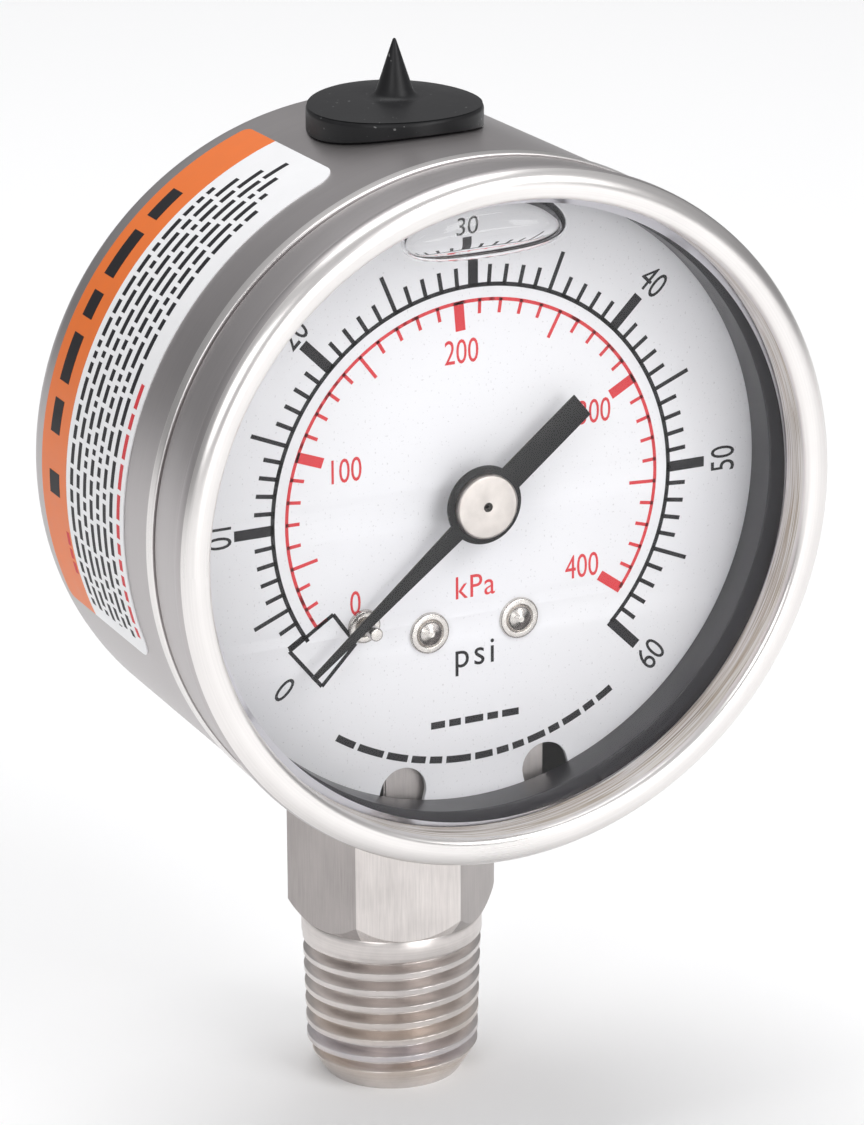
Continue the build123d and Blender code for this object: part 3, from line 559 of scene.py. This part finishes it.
def block(bm, low, high, bevel):
    """Adds a box with rounded edges to the mesh."""
    made = bmesh.new()
    bmesh.ops.create_cube(made, size=1.0)
    size = Vector(high) - Vector(low)
    middle = (Vector(high) + Vector(low)) / 2
    fit = Matrix.Translation(middle) @ Matrix.Diagonal((*size, 1.0))
    bmesh.ops.transform(made, matrix=fit, verts=made.verts)
    bmesh.ops.bevel(made, geom=made.edges[:], offset=bevel, segments=2, affect="EDGES")
    add(bm, made)


# --- case, bezel, window and gasket ---------------------------------------------------------------


def case_r(y):
    """Outer radius of the slightly flared case at depth y."""
    return 25.62 + 0.38 * (7.0 - y) / 19.0


case_outline = rounded(
    [
        (0, 8.9, 0),
        (18.8, 8.9, 0.6),
        (19.6, 9.4, 0.6),
        (case_r(9.4), 9.4, 2.2),
        (26.0, -12.0, 0),
        (26.2, -14.35, 0.2),
        (26.16, -15.2, 0.12),
        (25.4, -15.2, 0),
        (25.4, -15.6, 0),
        (CASE_INNER_R, -15.6, 0),
        (CASE_INNER_R, 8.5, 1.4),
        (19.0, 8.5, 0.6),
        (18.2, 8.0, 0.6),
        (0, 8.0, 0),
    ]
)
case_holes = [
    ((0, -1.6, DIAL_Z + 20), (0, -1.6, DIAL_Z + 30), 3.2),
    ((0, 0, DIAL_Z - 30), (0, 0, DIAL_Z - 20), 7.0),
]
case_mesh = drilled(lathe(case_outline), case_holes)
finishes = ["case_steel", "bezel_steel"]
shell = piece("case", case_mesh, finishes, "case", "case_shell")
# The case's front lip takes the brighter bezel steel as a painted highlight line.
for face in shell.data.polygons:
    middle = face.center
    painted_highlight_lip = hypot(middle.x, middle.z - DIAL_Z * MM) > 26.0 * MM and middle.y < -14.3 * MM
    face.material_index = 1 if painted_highlight_lip else 0

bezel_outline = rounded(
    [
        (25.42, -15.25, 0),
        (25.98, -15.25, 0.25),
        (26.05, -19.15, 0.18),
        (25.85, -19.45, 0.12),
        (26.45, -19.85, 0.3),
        (26.45, -21.6, 1.25),
        (24.15, -21.35, 0.55),
        (24.15, -18.45, 0.05),
        (24.95, -17.42, 0),
        (25.42, -17.42, 0),
    ]
)
finishes = ["bezel_steel", "skirt_steel_painted_shade", "mouth_steel_painted_reflections"]
bezel = piece("bezel", lathe(bezel_outline, 288), finishes, "case", "bezel_ring")
for face in bezel.data.polygons:
    middle = face.center
    # The mouth's inner wall takes the steel with painted reflections.
    if hypot(middle.x, middle.z - DIAL_Z * MM) < 24.2 * MM and middle.y > -20.9 * MM:
        face.material_index = 2
    # The skirt and the bead's outer side take the darker copy of the bezel steel as painted shade.
    elif middle.y > -20.75 * MM:
        face.material_index = 1

LENS_R = 24.9
LENS_FLAT_R = 23.5
LENS_RIM_Y = -17.4
lens_outline = [
    (0, LENS_FRONT_Y),
    (LENS_FLAT_R, LENS_FRONT_Y),
    (LENS_R, LENS_RIM_Y),
    (LENS_R, LENS_BACK_Y),
    (0, LENS_BACK_Y),
]
lens = lathe(lens_outline, 288)
finishes = ["window", "window_wet", "window_edge"]
pane = piece("window_pane", lens, finishes, "case", "window_lens", sharp=10)
for face in pane.data.polygons:
    middle = face.center
    if middle.y > (LENS_BACK_Y - 0.01) * MM:
        face.material_index = 1
    elif hypot(middle.x, middle.z - DIAL_Z * MM) > 23.6 * MM and middle.y < -17.3 * MM:
        face.material_index = 2

gasket_outline = rounded(
    [
        (23.4, -16.08, 0.1),
        (24.93, -16.08, 0),
        (24.93, -17.38, 0),
        (25.38, -17.38, 0),
        (25.38, -15.62, 0),
        (24.2, -15.62, 0),
        (24.2, DIAL_Y, 0),
        (23.4, DIAL_Y, 0.1),
    ]
)
piece("gasket", lathe(gasket_outline), "black_rubber", "case", "lens_gasket")

# --- dial -----------------------------------------------------------------------------------------

DIAL_R = 24.2
NOTCH_R = 1.9
NOTCH_RADIUS = 22.9
NOTCH_ANGLES = (-165.0, 165.0)
STOP = clock(12.4, -133.3)
SCREWS = [(-3.7, -9.9), (3.7, -9.9)]


def dial_outline():
    """The dial's edge, with a round-bottomed notch cut in at each notch angle."""
    loop = []
    half = degrees_of(asin(NOTCH_R / DIAL_R))
    left, right = NOTCH_ANGLES
    for start, end in ((left + half, right - half), (right + half, left + 360.0 - half)):
        steps = int((end - start) / 2)
        loop += [clock(DIAL_R, start + (end - start) * k / steps) for k in range(steps + 1)]
        notch = end + half
        cu, cw = clock(NOTCH_RADIUS, notch)
        for k in range(17):
            inward = radians(notch) + pi + pi / 2 - pi * k / 16
            loop.append((cu + NOTCH_R * sin(inward), cw + NOTCH_R * cos(inward)))
    return loop


def degrees_of(angle):
    return angle * 180.0 / pi


dial_loops = [dial_outline(), circle(1.2), circle(0.5, *STOP)] + [circle(0.8, u, w) for u, w in SCREWS]
piece("dial", flat(dial_loops, DIAL_Y + 0.6, 0.6, 0.04), "dial_white", "case", "dial_plate")

INK = 0.02
BLACK_R = 16.25
RED_R = 15.13
DEG_PER_PSI = 4.5
DEG_PER_KPA = 4.5 * 0.1450377
ZERO_BOX = [(-11.5, -7.2), (-15.06, -9.48), (-12.49, -12.63), (-9.7, -9.75)]


def inked_arc(bm, radius, width, start, end):
    """Printed arc of the scale between two clock angles."""
    steps = int(abs(end - start) / 1.5)
    inner = radius - width / 2
    outer = radius + width / 2
    for k in range(steps):
        a = start + (end - start) * k / steps
        b = start + (end - start) * (k + 1) / steps
        corners = [clock(inner, a), clock(outer, a), clock(outer, b), clock(inner, b)]
        prism(bm, corners, DIAL_Y, INK)


def inked_line(bm, a, b, width):
    """Printed straight line between two (u, w) points."""
    along = Vector(b) - Vector(a)
    side = Vector((-along.y, along.x)).normalized() * (width / 2)
    ends = ((a, side), (b, side), (b, -side), (a, -side))
    prism(bm, [tuple(Vector(point) + shift) for point, shift in ends], DIAL_Y, INK)


def inked_text(bm, words, u, w, height, turn=0.0, squeeze=0.82, spacing=1.0):
    """Printed lettering centred at (u, w), height tall, turned clockwise by turn degrees."""
    curve = bpy.data.curves.new("text", "FONT")
    curve.body = words
    curve.align_x = "CENTER"
    curve.align_y = "CENTER"
    curve.space_character = spacing
    curve.extrude = 0.5
    curve.resolution_u = 4
    text = curve_mesh(curve)
    tall = max(v.co.y for v in text.verts) - min(v.co.y for v in text.verts)
    size = height / tall
    centre = Vector(
        [(max(v.co[i] for v in text.verts) + min(v.co[i] for v in text.verts)) / 2 for i in range(3)]
    )
    shape = Matrix.Diagonal((size * squeeze, size, INK, 1.0)) @ Matrix.Translation(-centre)
    spin = Matrix.Rotation(-radians(turn), 4, "Z")
    move = Matrix.Translation((u, DIAL_Y - INK / 2, w)) @ FACE_FRONT @ spin @ shape
    bmesh.ops.transform(text, matrix=move, verts=text.verts)
    add(bm, text)


black = bmesh.new()
inked_arc(black, BLACK_R, 0.32, -123.5, 135.0)
for psi in range(3, 61):
    angle = -135.0 + DEG_PER_PSI * psi
    outer = 19.3 if psi % 5 == 0 else 17.75
    wide = 0.8 if psi % 10 == 0 else 0.32
    inked_line(black, clock(BLACK_R - 0.1, angle), clock(outer, angle), wide)
for i in range(4):
    inked_line(black, ZERO_BOX[i], ZERO_BOX[(i + 1) % 4], 0.3)
BLACK_NUMERALS = [
    ("0", -15.5, -12.4, 45.0),
    ("10", -20.5, 0.0, 90.0),
    ("20", -14.4, 14.6, -45.0),
    ("30", 0.0, 20.6, 0.0),
    ("40", 14.85, 14.6, 45.0),
    ("50", 20.9, 0.0, -90.0),
    ("60", 14.9, -14.6, -45.0),
]
for words, u, w, turn in BLACK_NUMERALS:
    inked_text(black, words, u, w, 2.0, turn, 0.74)
inked_text(black, "psi", 0.05, -12.45, 2.5, 0.0, 0.95, 1.18)
piece("scale_black", black, "ink_black", "case")

red = bmesh.new()
inked_arc(red, RED_R, 0.26, -122.0, -135.0 + DEG_PER_KPA * 400)
for kpa in range(20, 401, 10):
    angle = -135.0 + DEG_PER_KPA * kpa
    inner = 13.0 if kpa % 50 == 0 else 14.1
    wide = 0.8 if kpa % 100 == 0 else 0.26
    inked_line(red, clock(RED_R + 0.08, angle), clock(inner, angle), wide)
RED_NUMERALS = [
    ("0", -9.7, -6.6),
    ("100", -10.3, 3.7),
    ("200", -0.95, 11.4),
    ("300", 10.0, 5.3),
    ("400", 9.0, -6.65),
]
for words, u, w in RED_NUMERALS:
    inked_text(red, words, u, w, 1.85, 0.0, 0.72)
inked_text(red, "kPa", 0.12, -6.8, 1.75, 0.0, 0.9, 1.08)
piece("scale_red", red, "ink_red", "case")

# Captions are plain dashes, in a straight row and a curved one.
captions = bmesh.new()
u = -3.6
while u < 3.6:
    length = rng.uniform(0.8, 1.9)
    inked_line(captions, (u, -17.3), (min(u + length, 4.0), -17.3), 0.55)
    u += length + 0.35
angle = 145.5
while angle < 214.5:
    length = rng.uniform(2.4, 6.5)
    inked_arc(captions, 20.3, 0.55, angle, min(angle + length, 215.0))
    angle += length + 1.0
piece("captions", captions, "ink_black", "case")



def on_dial(points):
    """Rounded outline from (radius, height above the dial's face, corner radius) points."""
    return rounded([(r, DIAL_Y - height, corner) for r, height, corner in points])


eyelet = on_dial([(0.75, 0, 0), (1.6, 0, 0), (1.55, 0.32, 0.14), (1.12, 0.36, 0.1), (0.9, 0.12, 0)])
dome = on_dial(
    [(0, -0.1, 0), (1.02, -0.1, 0), (0.98, 0.42, 0.3), (0.5, 0.62, 0.3), (0.22, 0.75, 0.12), (0, 0.72, 0)]
)
screws = bmesh.new()
for u, w in SCREWS:
    turned_at(eyelet, u, w, 64, screws)
    turned_at(dome, u, w, 64, screws)
    shank = [(0, DIAL_Y + 0.1), (0.78, DIAL_Y + 0.1), (0.78, -8.9), (0, -8.9)]
    turned_at(shank, u, w, 40, screws)
piece("dial_screw_heads", screws, "screw_steel", "case", "dial_screws")

stop = bmesh.new()
STOP_R = 0.5
STOP_BACK_Y = -11.3
STOP_FRONT_Y = -15.2
stop_outline = rounded(
    [(0, STOP_BACK_Y, 0), (STOP_R, STOP_BACK_Y, 0), (STOP_R, STOP_FRONT_Y, 0.1), (0, STOP_FRONT_Y, 0)]
)
turned_at(stop_outline, *STOP, 48, stop)
stop_eyelet = on_dial([(0.5, 0, 0), (1.3, 0, 0), (1.25, 0.35, 0.15), (0.8, 0.4, 0.12), (0.5, 0.15, 0)])
turned_at(stop_eyelet, *STOP, 64, stop)
piece("stop_post", stop, "screw_steel", "case", "stop_pin")

# --- pointer --------------------------------------------------------------------------------------

POINTER_REST = -129.0


def pointer_loop():
    """Outline of the pointer, lying straight up: needle, hub disc and square tail."""
    loop = [(-0.2, 18.0), (0.2, 18.0)]
    hub = 3.0
    needle = asin(0.7 / hub)
    tail = asin(1.05 / hub)
    turns = [needle + (pi - tail - needle) * k / 30 for k in range(31)]
    loop += [(hub * sin(a), hub * cos(a)) for a in turns]
    loop += [(1.05, -10.4), (-1.05, -10.4)]
    loop += [(-u, w) for u, w in reversed(loop[2:33])]
    turn = radians(POINTER_REST)
    return [(u * cos(turn) + w * sin(turn), w * cos(turn) - u * sin(turn)) for u, w in loop]


needle = flat([pointer_loop(), circle(0.6)], POINTER_Y + 0.35, 0.35, 0.05)
turned_at([(0.6, POINTER_Y + 0.35), (1.7, POINTER_Y + 0.35), (1.7, -12.9), (0.6, -12.9)], 0, 0, 64, needle)
piece("pointer_hand", needle, "pointer_black", "pointer", "pointer")

cap_front = POINTER_Y - 0.85
cap_outline = rounded(
    [
        (0, cap_front + 0.35, 0),
        (0.28, cap_front + 0.3, 0),
        (0.34, cap_front, 0.05),
        (2.45, cap_front, 0.18),
        (2.45, POINTER_Y, 0),
        (0.6, POINTER_Y, 0),
        (0.6, POINTER_Y - 0.5, 0),
        (0, POINTER_Y - 0.5, 0),
    ]
)
cap_mesh = turned_at(cap_outline, 0, 0, 128)
finishes = ["cap_metal", "cap_hole_painted_shade"]
cap_piece = piece("pointer_hub_cap", cap_mesh, finishes, "pointer", "pointer_cap")
# The shallow dimple in the cap's centre is painted dark as its shade.
for face in cap_piece.data.polygons:
    middle = face.center
    inside = hypot(middle.x, middle.z - DIAL_Z * MM) < 0.36 * MM
    face.material_index = 1 if inside and middle.y < (cap_front + 0.34) * MM else 0

# --- stem and socket ------------------------------------------------------------------------------

PITCH = 25.4 / 18
COLLAR_R = 7.05
HEX_TURN = -15.3
HEX_BOTTOM = 13.1


def thread_r(z, angle):
    """Radius of the stem's outside: tapered right-hand thread, then the plain collar."""
    crest = min(6.63 + z / 32, 5.35 + 0.62 * z)
    phase = (z / PITCH - angle / (2 * pi)) % 1.0
    away = abs(phase - 0.5) * 2  # 0 in the middle of a crest, 1 in the middle of a groove
    depth = min(1.0, max(0.0, (away - 0.3) / 0.62))
    depth = depth * depth * (3 - 2 * depth) * 0.35 + depth * 0.65
    fade = min(1.0, max(0.0, (11.7 - z) / 0.9)) * min(1.0, max(0.0, (z - 1.1) / 1.1))
    collar = min(1.0, max(0.0, (z - 11.35) / 0.25))
    return (crest - 0.98 * depth * fade) * (1 - collar) + COLLAR_R * collar


stem = bmesh.new()
columns = 216
turns = [2 * pi * k / columns for k in range(columns)]
heights = [11.6 * k / 330 for k in range(331)] + [12.2, 12.95, HEX_BOTTOM]
rows = []
for z in heights:
    ring = []
    for turn in turns:
        # The collar's top edge is broken where it meets the hexagon.
        r = COLLAR_R - 0.1 if z > 13.0 else thread_r(z, turn)
        ring.append((r * cos(turn), r * sin(turn), z))
    rows.append(ring)
for r, z in ((0.0, HEX_BOTTOM), (0.0, 11.5), (2.0, 11.5), (2.0, 0.25), (2.25, 0.0)):
    rows.append([(r * cos(turn), r * sin(turn), z) for turn in turns])
grid(stem, rows, wrap_rows=True, wrap_columns=True)
piece("stem_thread", stem, "stem_steel", "case", "socket", sharp=50)

FLATS = 14.29 / 2
HEX_DOME_Z = 19.63
HEX_DOME_BASE_R = 7.1
HEX_DOME_R = hypot(HEX_DOME_BASE_R, HEX_DOME_Z - HEX_BOTTOM)
hexagon = bmesh.new()
per_side = 18
angles = []
for side in range(6):
    for k in range(per_side):
        angles.append(radians(HEX_TURN - 90 - 30 + 60 * side + 60 * k / per_side))


def hex_r(angle, z):
    """Radius of the hexagon, with its lower corners turned off and its edges a little worn."""
    local = (angle - radians(HEX_TURN - 90) + radians(30)) % radians(60) - radians(30)
    flat_r = FLATS / cos(local)
    dome = sqrt(HEX_DOME_R**2 - min(0.0, z - HEX_DOME_Z) ** 2)
    return min(flat_r, FLATS / cos(radians(30)) - 0.07, dome)


rows = []
steps = 6
for step in range(steps + 1):
    ring = []
    for a in angles:
        # The turned-off part of each column ends where the dome meets the column's flat.
        meets = HEX_DOME_Z - sqrt(HEX_DOME_R**2 - hex_r(a, 30.0) ** 2)
        z = HEX_BOTTOM + (meets - HEX_BOTTOM) * step / steps
        r = hex_r(a, z)
        ring.append((r * cos(a), r * sin(a), z))
    rows.append(ring)
for z in (16.0, 20.0):
    rows.append([(hex_r(a, z) * cos(a), hex_r(a, z) * sin(a), z) for a in angles])
top = []
for a in angles:
    r = hex_r(a, 30.0)
    x, y = r * cos(a), r * sin(a)
    top.append((x, y, DIAL_Z - sqrt((case_r(y) + 0.02) ** 2 - x * x)))
rows.append(top)
rows.append([(5.9 * cos(a), 5.9 * sin(a), DIAL_Z - 25.7) for a in angles])
rows.append([(0, 0, DIAL_Z - 25.7) for a in angles])
rows.insert(0, [(0, 0, HEX_BOTTOM) for a in angles])
grid(hexagon, rows, wrap_columns=True)
nut = piece("stem_hexagon", hexagon, ["hex_steel", "hex_front_painted_light"], "case", "socket", sharp=14)
# The flats facing the front take the lighter copy of the steel as painted light; the other flats keep the
# darker one.
front_flat = Vector((sin(radians(HEX_TURN)), -cos(radians(HEX_TURN)), 0))
for face in nut.data.polygons:
    outward = Vector((face.center.x, face.center.y, 0))
    if outward.length > 4 * MM and outward.angle(front_flat) < radians(30):
        face.material_index = 1

inside = bmesh.new()
block(inside, (-7.1, -10.6, 27.3), (6.2, 6.0, 30.8), 0.15)
block(inside, (-7.1, -3.9, 30.7), (6.2, 4.6, 34.5), 0.15)
lathe([(0, 25.0), (6.0, 25.0), (6.0, 27.4), (0, 27.4)], 96, (0, 0), inside)
piece("socket_block", inside, "hex_steel", "case", "socket")

# --- fill plug ------------------------------------------------------------------------------------

PLUG_Y = -1.6
PLUG_R = 6.6
PLUG_EDGE_R = 0.35  # rounding of the rim's upper edge
PLUG_SHANK_R = 3.15
PLUG_TOP_R = 27.7  # from the dial's axis to the rim's upper face
NIB = ((0.07, 82.88), (0.13, 82.8), (0.45, 81.85), (0.95, 80.3), (1.3, 79.25), (1.45, 78.85), (1.6, 78.66))


def plug_top(x, y=PLUG_Y):
    """Height of the rim's upper face, which curves with the case and sags a little fore and aft."""
    return DIAL_Z + sqrt(PLUG_TOP_R**2 - x * x) - 0.55 * ((y - PLUG_Y) / PLUG_R) ** 2


def plug_bottom(x, y):
    """Height of the rim's underside, just clear of the case."""
    return DIAL_Z + sqrt((case_r(y) + 0.05) ** 2 - x * x)


plug = bmesh.new()
rows = []
around = 160


def plug_ring(r, height):
    """A ring of the plug's surface; height(x, y) gives its level."""
    ring = []
    for k in range(around):
        a = 2 * pi * k / around
        x, y = r * cos(a), PLUG_Y + r * sin(a)
        ring.append((x, y, height(x, y)))
    return ring


level = plug_top(0)
rows.append(plug_ring(0.0, lambda x, y: level - 1.0))
rows.append(plug_ring(0.0, lambda x, y: 82.9))
for r, z in NIB:
    rows.append(plug_ring(r, lambda x, y, z=z: z))
rows.append(plug_ring(1.95, lambda x, y: plug_top(x, y) - 0.12))
rows.append(plug_ring(2.4, lambda x, y: plug_top(x, y) - 0.05))
for r in (3.0, 4.0, 5.0, 6.0, 6.5):
    rows.append(plug_ring(r, lambda x, y: plug_top(x, y)))
for k in range(1, 7):
    a = radians(15 * k)
    r = PLUG_R - PLUG_EDGE_R + PLUG_EDGE_R * sin(a)
    drop = PLUG_EDGE_R * (1 - cos(a))
    rows.append(plug_ring(r, lambda x, y, drop=drop: plug_top(x, y) - drop))
rows.append(plug_ring(PLUG_R, lambda x, y: plug_bottom(x, y) + 0.12))
rows.append(plug_ring(PLUG_R - 0.12, plug_bottom))
for r in (6.0, 5.0, 4.0, PLUG_SHANK_R):
    rows.append(plug_ring(r, plug_bottom))
rows.append(plug_ring(PLUG_SHANK_R, lambda x, y: 73.5))
rows.append(plug_ring(2.8, lambda x, y: 73.15))
rows.append(plug_ring(0.0, lambda x, y: 73.15))
grid(plug, rows, wrap_columns=True)
piece("vent_plug", plug, "plug_rubber", "fill_plug", "fill_plug", sharp=38)

# --- side label -----------------------------------------------------------------------------------

LABEL_TOP = -19.0
LABEL_BOTTOM = -113.3
LABEL_FRONT = -9.8
LABEL_SPLIT = 1.3
LABEL_REAR = 6.2


def skin(bm, start, end, front, rear, low, high, front_corner=0.0, rear_corner=0.0):
    """A thin patch on the case between two clock angles and two depths, from low to high over it."""
    corner = max(front_corner, rear_corner)
    stops = {start, end}
    size = abs(end - start)
    for k in range(int(size / 1.5) + 1):
        stops.add(start + (end - start) * k / (int(size / 1.5) + 1))
    for k in range(1, 9):
        trim = degrees_of(corner * (1 - cos(radians(90 * k / 8))) / 26.0)
        if corner:
            stops.update((start - trim, end + trim))
    outer, inner = [], []
    for stop in sorted(stops):
        left = min(start - stop, stop - end)
        gap = radians(max(0.0, left)) * 26.0

        def cut(radius):
            return radius - sqrt(max(0.0, radius**2 - max(0.0, radius - gap) ** 2)) if radius else 0.0

        y0, y1 = front + cut(front_corner), rear - cut(rear_corner)
        a = radians(stop)
        ys = [y0 + (y1 - y0) * j / 4 for j in range(5)]
        outer.append([on_dial_axis(case_r(y) + high, y, a) for y in ys])
        inner.append([on_dial_axis(case_r(y) + low, y, a) for y in ys])
    rows = [o + i[::-1] for o, i in zip(outer, inner)]
    made = grid(bm, rows, wrap_columns=True)
    for row in (made[0], made[-1]):
        for j in range(4):
            bm.faces.new((row[j], row[j + 1], row[8 - j], row[9 - j]))


FILM = 0.08
white = bmesh.new()
skin(white, LABEL_TOP, LABEL_BOTTOM, LABEL_FRONT, LABEL_SPLIT + 0.02, 0.0, FILM, front_corner=2.0)
piece("label_panel", white, "label_white", "case", "side_label")
orange = bmesh.new()
skin(orange, LABEL_TOP, LABEL_BOTTOM, LABEL_SPLIT, LABEL_REAR, 0.0, FILM, rear_corner=0.7)
piece("label_band", orange, "label_orange", "case", "side_label")


def dashes(bm, first, last, middle, height, shortest, longest, gap):
    """A row of plain dashes along the label in place of its printed words."""
    at = first
    while at > last:
        step = rng.uniform(shortest, longest)
        front = middle - height / 2
        rear = middle + height / 2
        skin(bm, at, max(at - step, last), front, rear, FILM - 0.01, FILM + 0.015)
        at -= step + gap


marks = bmesh.new()
dashes(marks, -36.0, -82.0, 3.9, 1.7, 4.5, 9.0, 3.0)
skin(marks, -88.5, -92.5, 2.7, 4.6, FILM - 0.01, FILM + 0.015)
for line in range(7):
    ragged = 3.5 * abs(line - 3)
    dashes(marks, LABEL_TOP - 3.0 - ragged, LABEL_BOTTOM + 3.0, 0.2 - 1.28 * line, 0.56, 0.9, 5.2, 0.8)
piece("label_marks", marks, "ink_black", "case")
red_marks = bmesh.new()
dashes(red_marks, -66.0, LABEL_BOTTOM + 4.0, -8.85, 0.55, 1.2, 4.2, 0.9)
dashes(red_marks, -98.0, -106.0, 1.9, 0.5, 1.0, 2.6, 0.7)
piece("label_red_marks", red_marks, "ink_red", "case")

# --- Bourdon tube ---------------------------------------------------------------------------------


def tube_section():
    """Flattened tube: points of (radius, depth) round a slot 6 mm deep and 2.2 mm thick."""
    loop = []
    for k in range(12):
        a = pi * k / 11
        loop.append((TUBE_R + 1.1 * cos(a), 1.9 + 1.1 * sin(a)))
    for k in range(12):
        a = pi + pi * k / 11
        loop.append((TUBE_R + 1.1 * cos(a), -1.9 + 1.1 * sin(a)))
    return loop


def tube_length(name, start, end):
    """A closed length of the tube between two clock angles."""
    bm = bmesh.new()
    steps = int(abs(end - start) / 2)
    rows = []
    for k in range(steps + 1):
        a = radians(start + (end - start) * k / steps)
        rows.append([on_dial_axis(r, y, a) for r, y in tube_section()])
    made = grid(bm, rows, wrap_columns=True)
    bm.faces.new(made[0])
    bm.faces.new(made[-1])
    return bm


# Clock angles: the tube leaves the socket, passes the top of the case and ends at its tip.
TUBE_START, TUBE_TOP, TUBE_END = 195.0, 360.0, 480.0
root_mesh = tube_length("root", TUBE_START, TUBE_TOP)
piece("tube_root", root_mesh, "tube_steel", "case", "bourdon_tube")
free_mesh = tube_length("free", TUBE_TOP, TUBE_END)
tube_free = piece("tube_free", free_mesh, "tube_steel", None, "bourdon_tube")
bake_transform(tube_free)

# --- the rest of the movement keeps its CAD form --------------------------------------------------

slots = {entry["node"]: entry["material_slot"] for entry in frame["record"]["subparts"]}
for node, obj in frame["nodes"].items():
    look = {"window": "window", "label_film": "label_white"}.get(slots[node], slots[node])
    obj.data.materials.clear()
    obj.data.materials.append(LOOK[look])

# --- bubble under the window ----------------------------------------------------------------------

BUBBLE = (0.2, -14.05, 21.3)
BUBBLE_SIZE = (6.6, 1.95, 2.6)
bubble = bmesh.new()
bmesh.ops.create_icosphere(bubble, subdivisions=6, radius=1.0)
for v in bubble.verts:
    x, y, z = v.co
    v.co = (
        BUBBLE[0] + BUBBLE_SIZE[0] * x,
        BUBBLE[1] + BUBBLE_SIZE[1] * (abs(y) ** 0.75) * (1 if y > 0 else -1),
        DIAL_Z + BUBBLE[2] + BUBBLE_SIZE[2] * z - 0.02 * (BUBBLE_SIZE[0] * x) ** 2,
    )
piece("vent_bubble", bubble, "bubble", "case")

# --- studio ---------------------------------------------------------------------------------------

floor_mesh = bmesh.new()
bmesh.ops.create_grid(floor_mesh, x_segments=8, y_segments=8, size=3000.0)
s = Shader("floor")
tone = s.ramp(s.noise(s.place(), 3.0), [(0.3, (0.945, 0.945, 0.945)), (0.7, (0.96, 0.96, 0.96))])
LOOK["floor"] = s.principled(Base_Color=tone, Roughness=0.9, Specular_IOR_Level=0.1)
piece("floor", floor_mesh, "floor", None)

world = bpy.data.worlds.new("studio")
bpy.context.scene.world = world
world.use_nodes = True
sky = world.node_tree
direction = sky.nodes.new("ShaderNodeTexCoord")
parts = sky.nodes.new("ShaderNodeSeparateXYZ")
fade = sky.nodes.new("ShaderNodeValToRGB")
sky.links.new(direction.outputs["Generated"], parts.inputs[0])
sky.links.new(parts.outputs["Z"], fade.inputs[0])
sky.links.new(fade.outputs[0], sky.nodes["Background"].inputs["Color"])
for band, (at, grey) in zip(fade.color_ramp.elements, ((0.05, 0.42), (0.75, 1.0))):
    band.position = at
    band.color = (grey * 0.985, grey * 0.985, grey, 1.0)
sky.nodes["Background"].inputs["Strength"].default_value = 0.56


def lamp(name, place, aim, size, power):
    """A soft square lamp; place and aim are in millimetres."""
    data = bpy.data.lights.new(name, "AREA")
    data.shape = "SQUARE"
    data.size = size * MM
    data.energy = power
    obj = bpy.data.objects.new(name, data)
    bpy.context.scene.collection.objects.link(obj)
    obj.location = Vector(place) * MM
    obj.rotation_euler = (Vector(aim) - Vector(place)).to_track_quat("-Z", "Y").to_euler()
    return obj


TARGET = (0, 0, 45)
lamp("key", (330, -720, 560), TARGET, 440, 2.7)
lamp("front", (120, -900, 150), TARGET, 340, 1.7)
lamp("fill", (-600, -560, 380), TARGET, 380, 1.4)
lamp("top", (0, 160, 800), TARGET, 600, 3.35)

# --- camera ---------------------------------------------------------------------------------------

CAMERA_AT = (-168.55, -347.87, 175.99)
AZIMUTH, ELEVATION, ROLL = radians(-26.34), radians(19.18), radians(-0.28)
camera = bpy.data.cameras.new("camera")
camera.sensor_fit = "VERTICAL"
camera.sensor_height = 36.0
camera.lens = 171.6
camera.clip_start = 0.01
camera.clip_end = 20.0
eye = bpy.data.objects.new("camera", camera)
bpy.context.scene.collection.objects.link(eye)
back = Vector((sin(AZIMUTH) * cos(ELEVATION), -cos(AZIMUTH) * cos(ELEVATION), sin(ELEVATION)))
right = Vector((cos(AZIMUTH), sin(AZIMUTH), 0))
up = back.cross(right)
level_frame = Matrix((right, up, back)).transposed()
roll = Matrix(((cos(ROLL), sin(ROLL), 0), (-sin(ROLL), cos(ROLL), 0), (0, 0, 1)))
eye.matrix_world = Matrix.Translation(Vector(CAMERA_AT) * MM) @ (level_frame @ roll.transposed()).to_4x4()
bpy.context.scene.camera = eye
bpy.context.scene.view_settings.view_transform = "Standard"
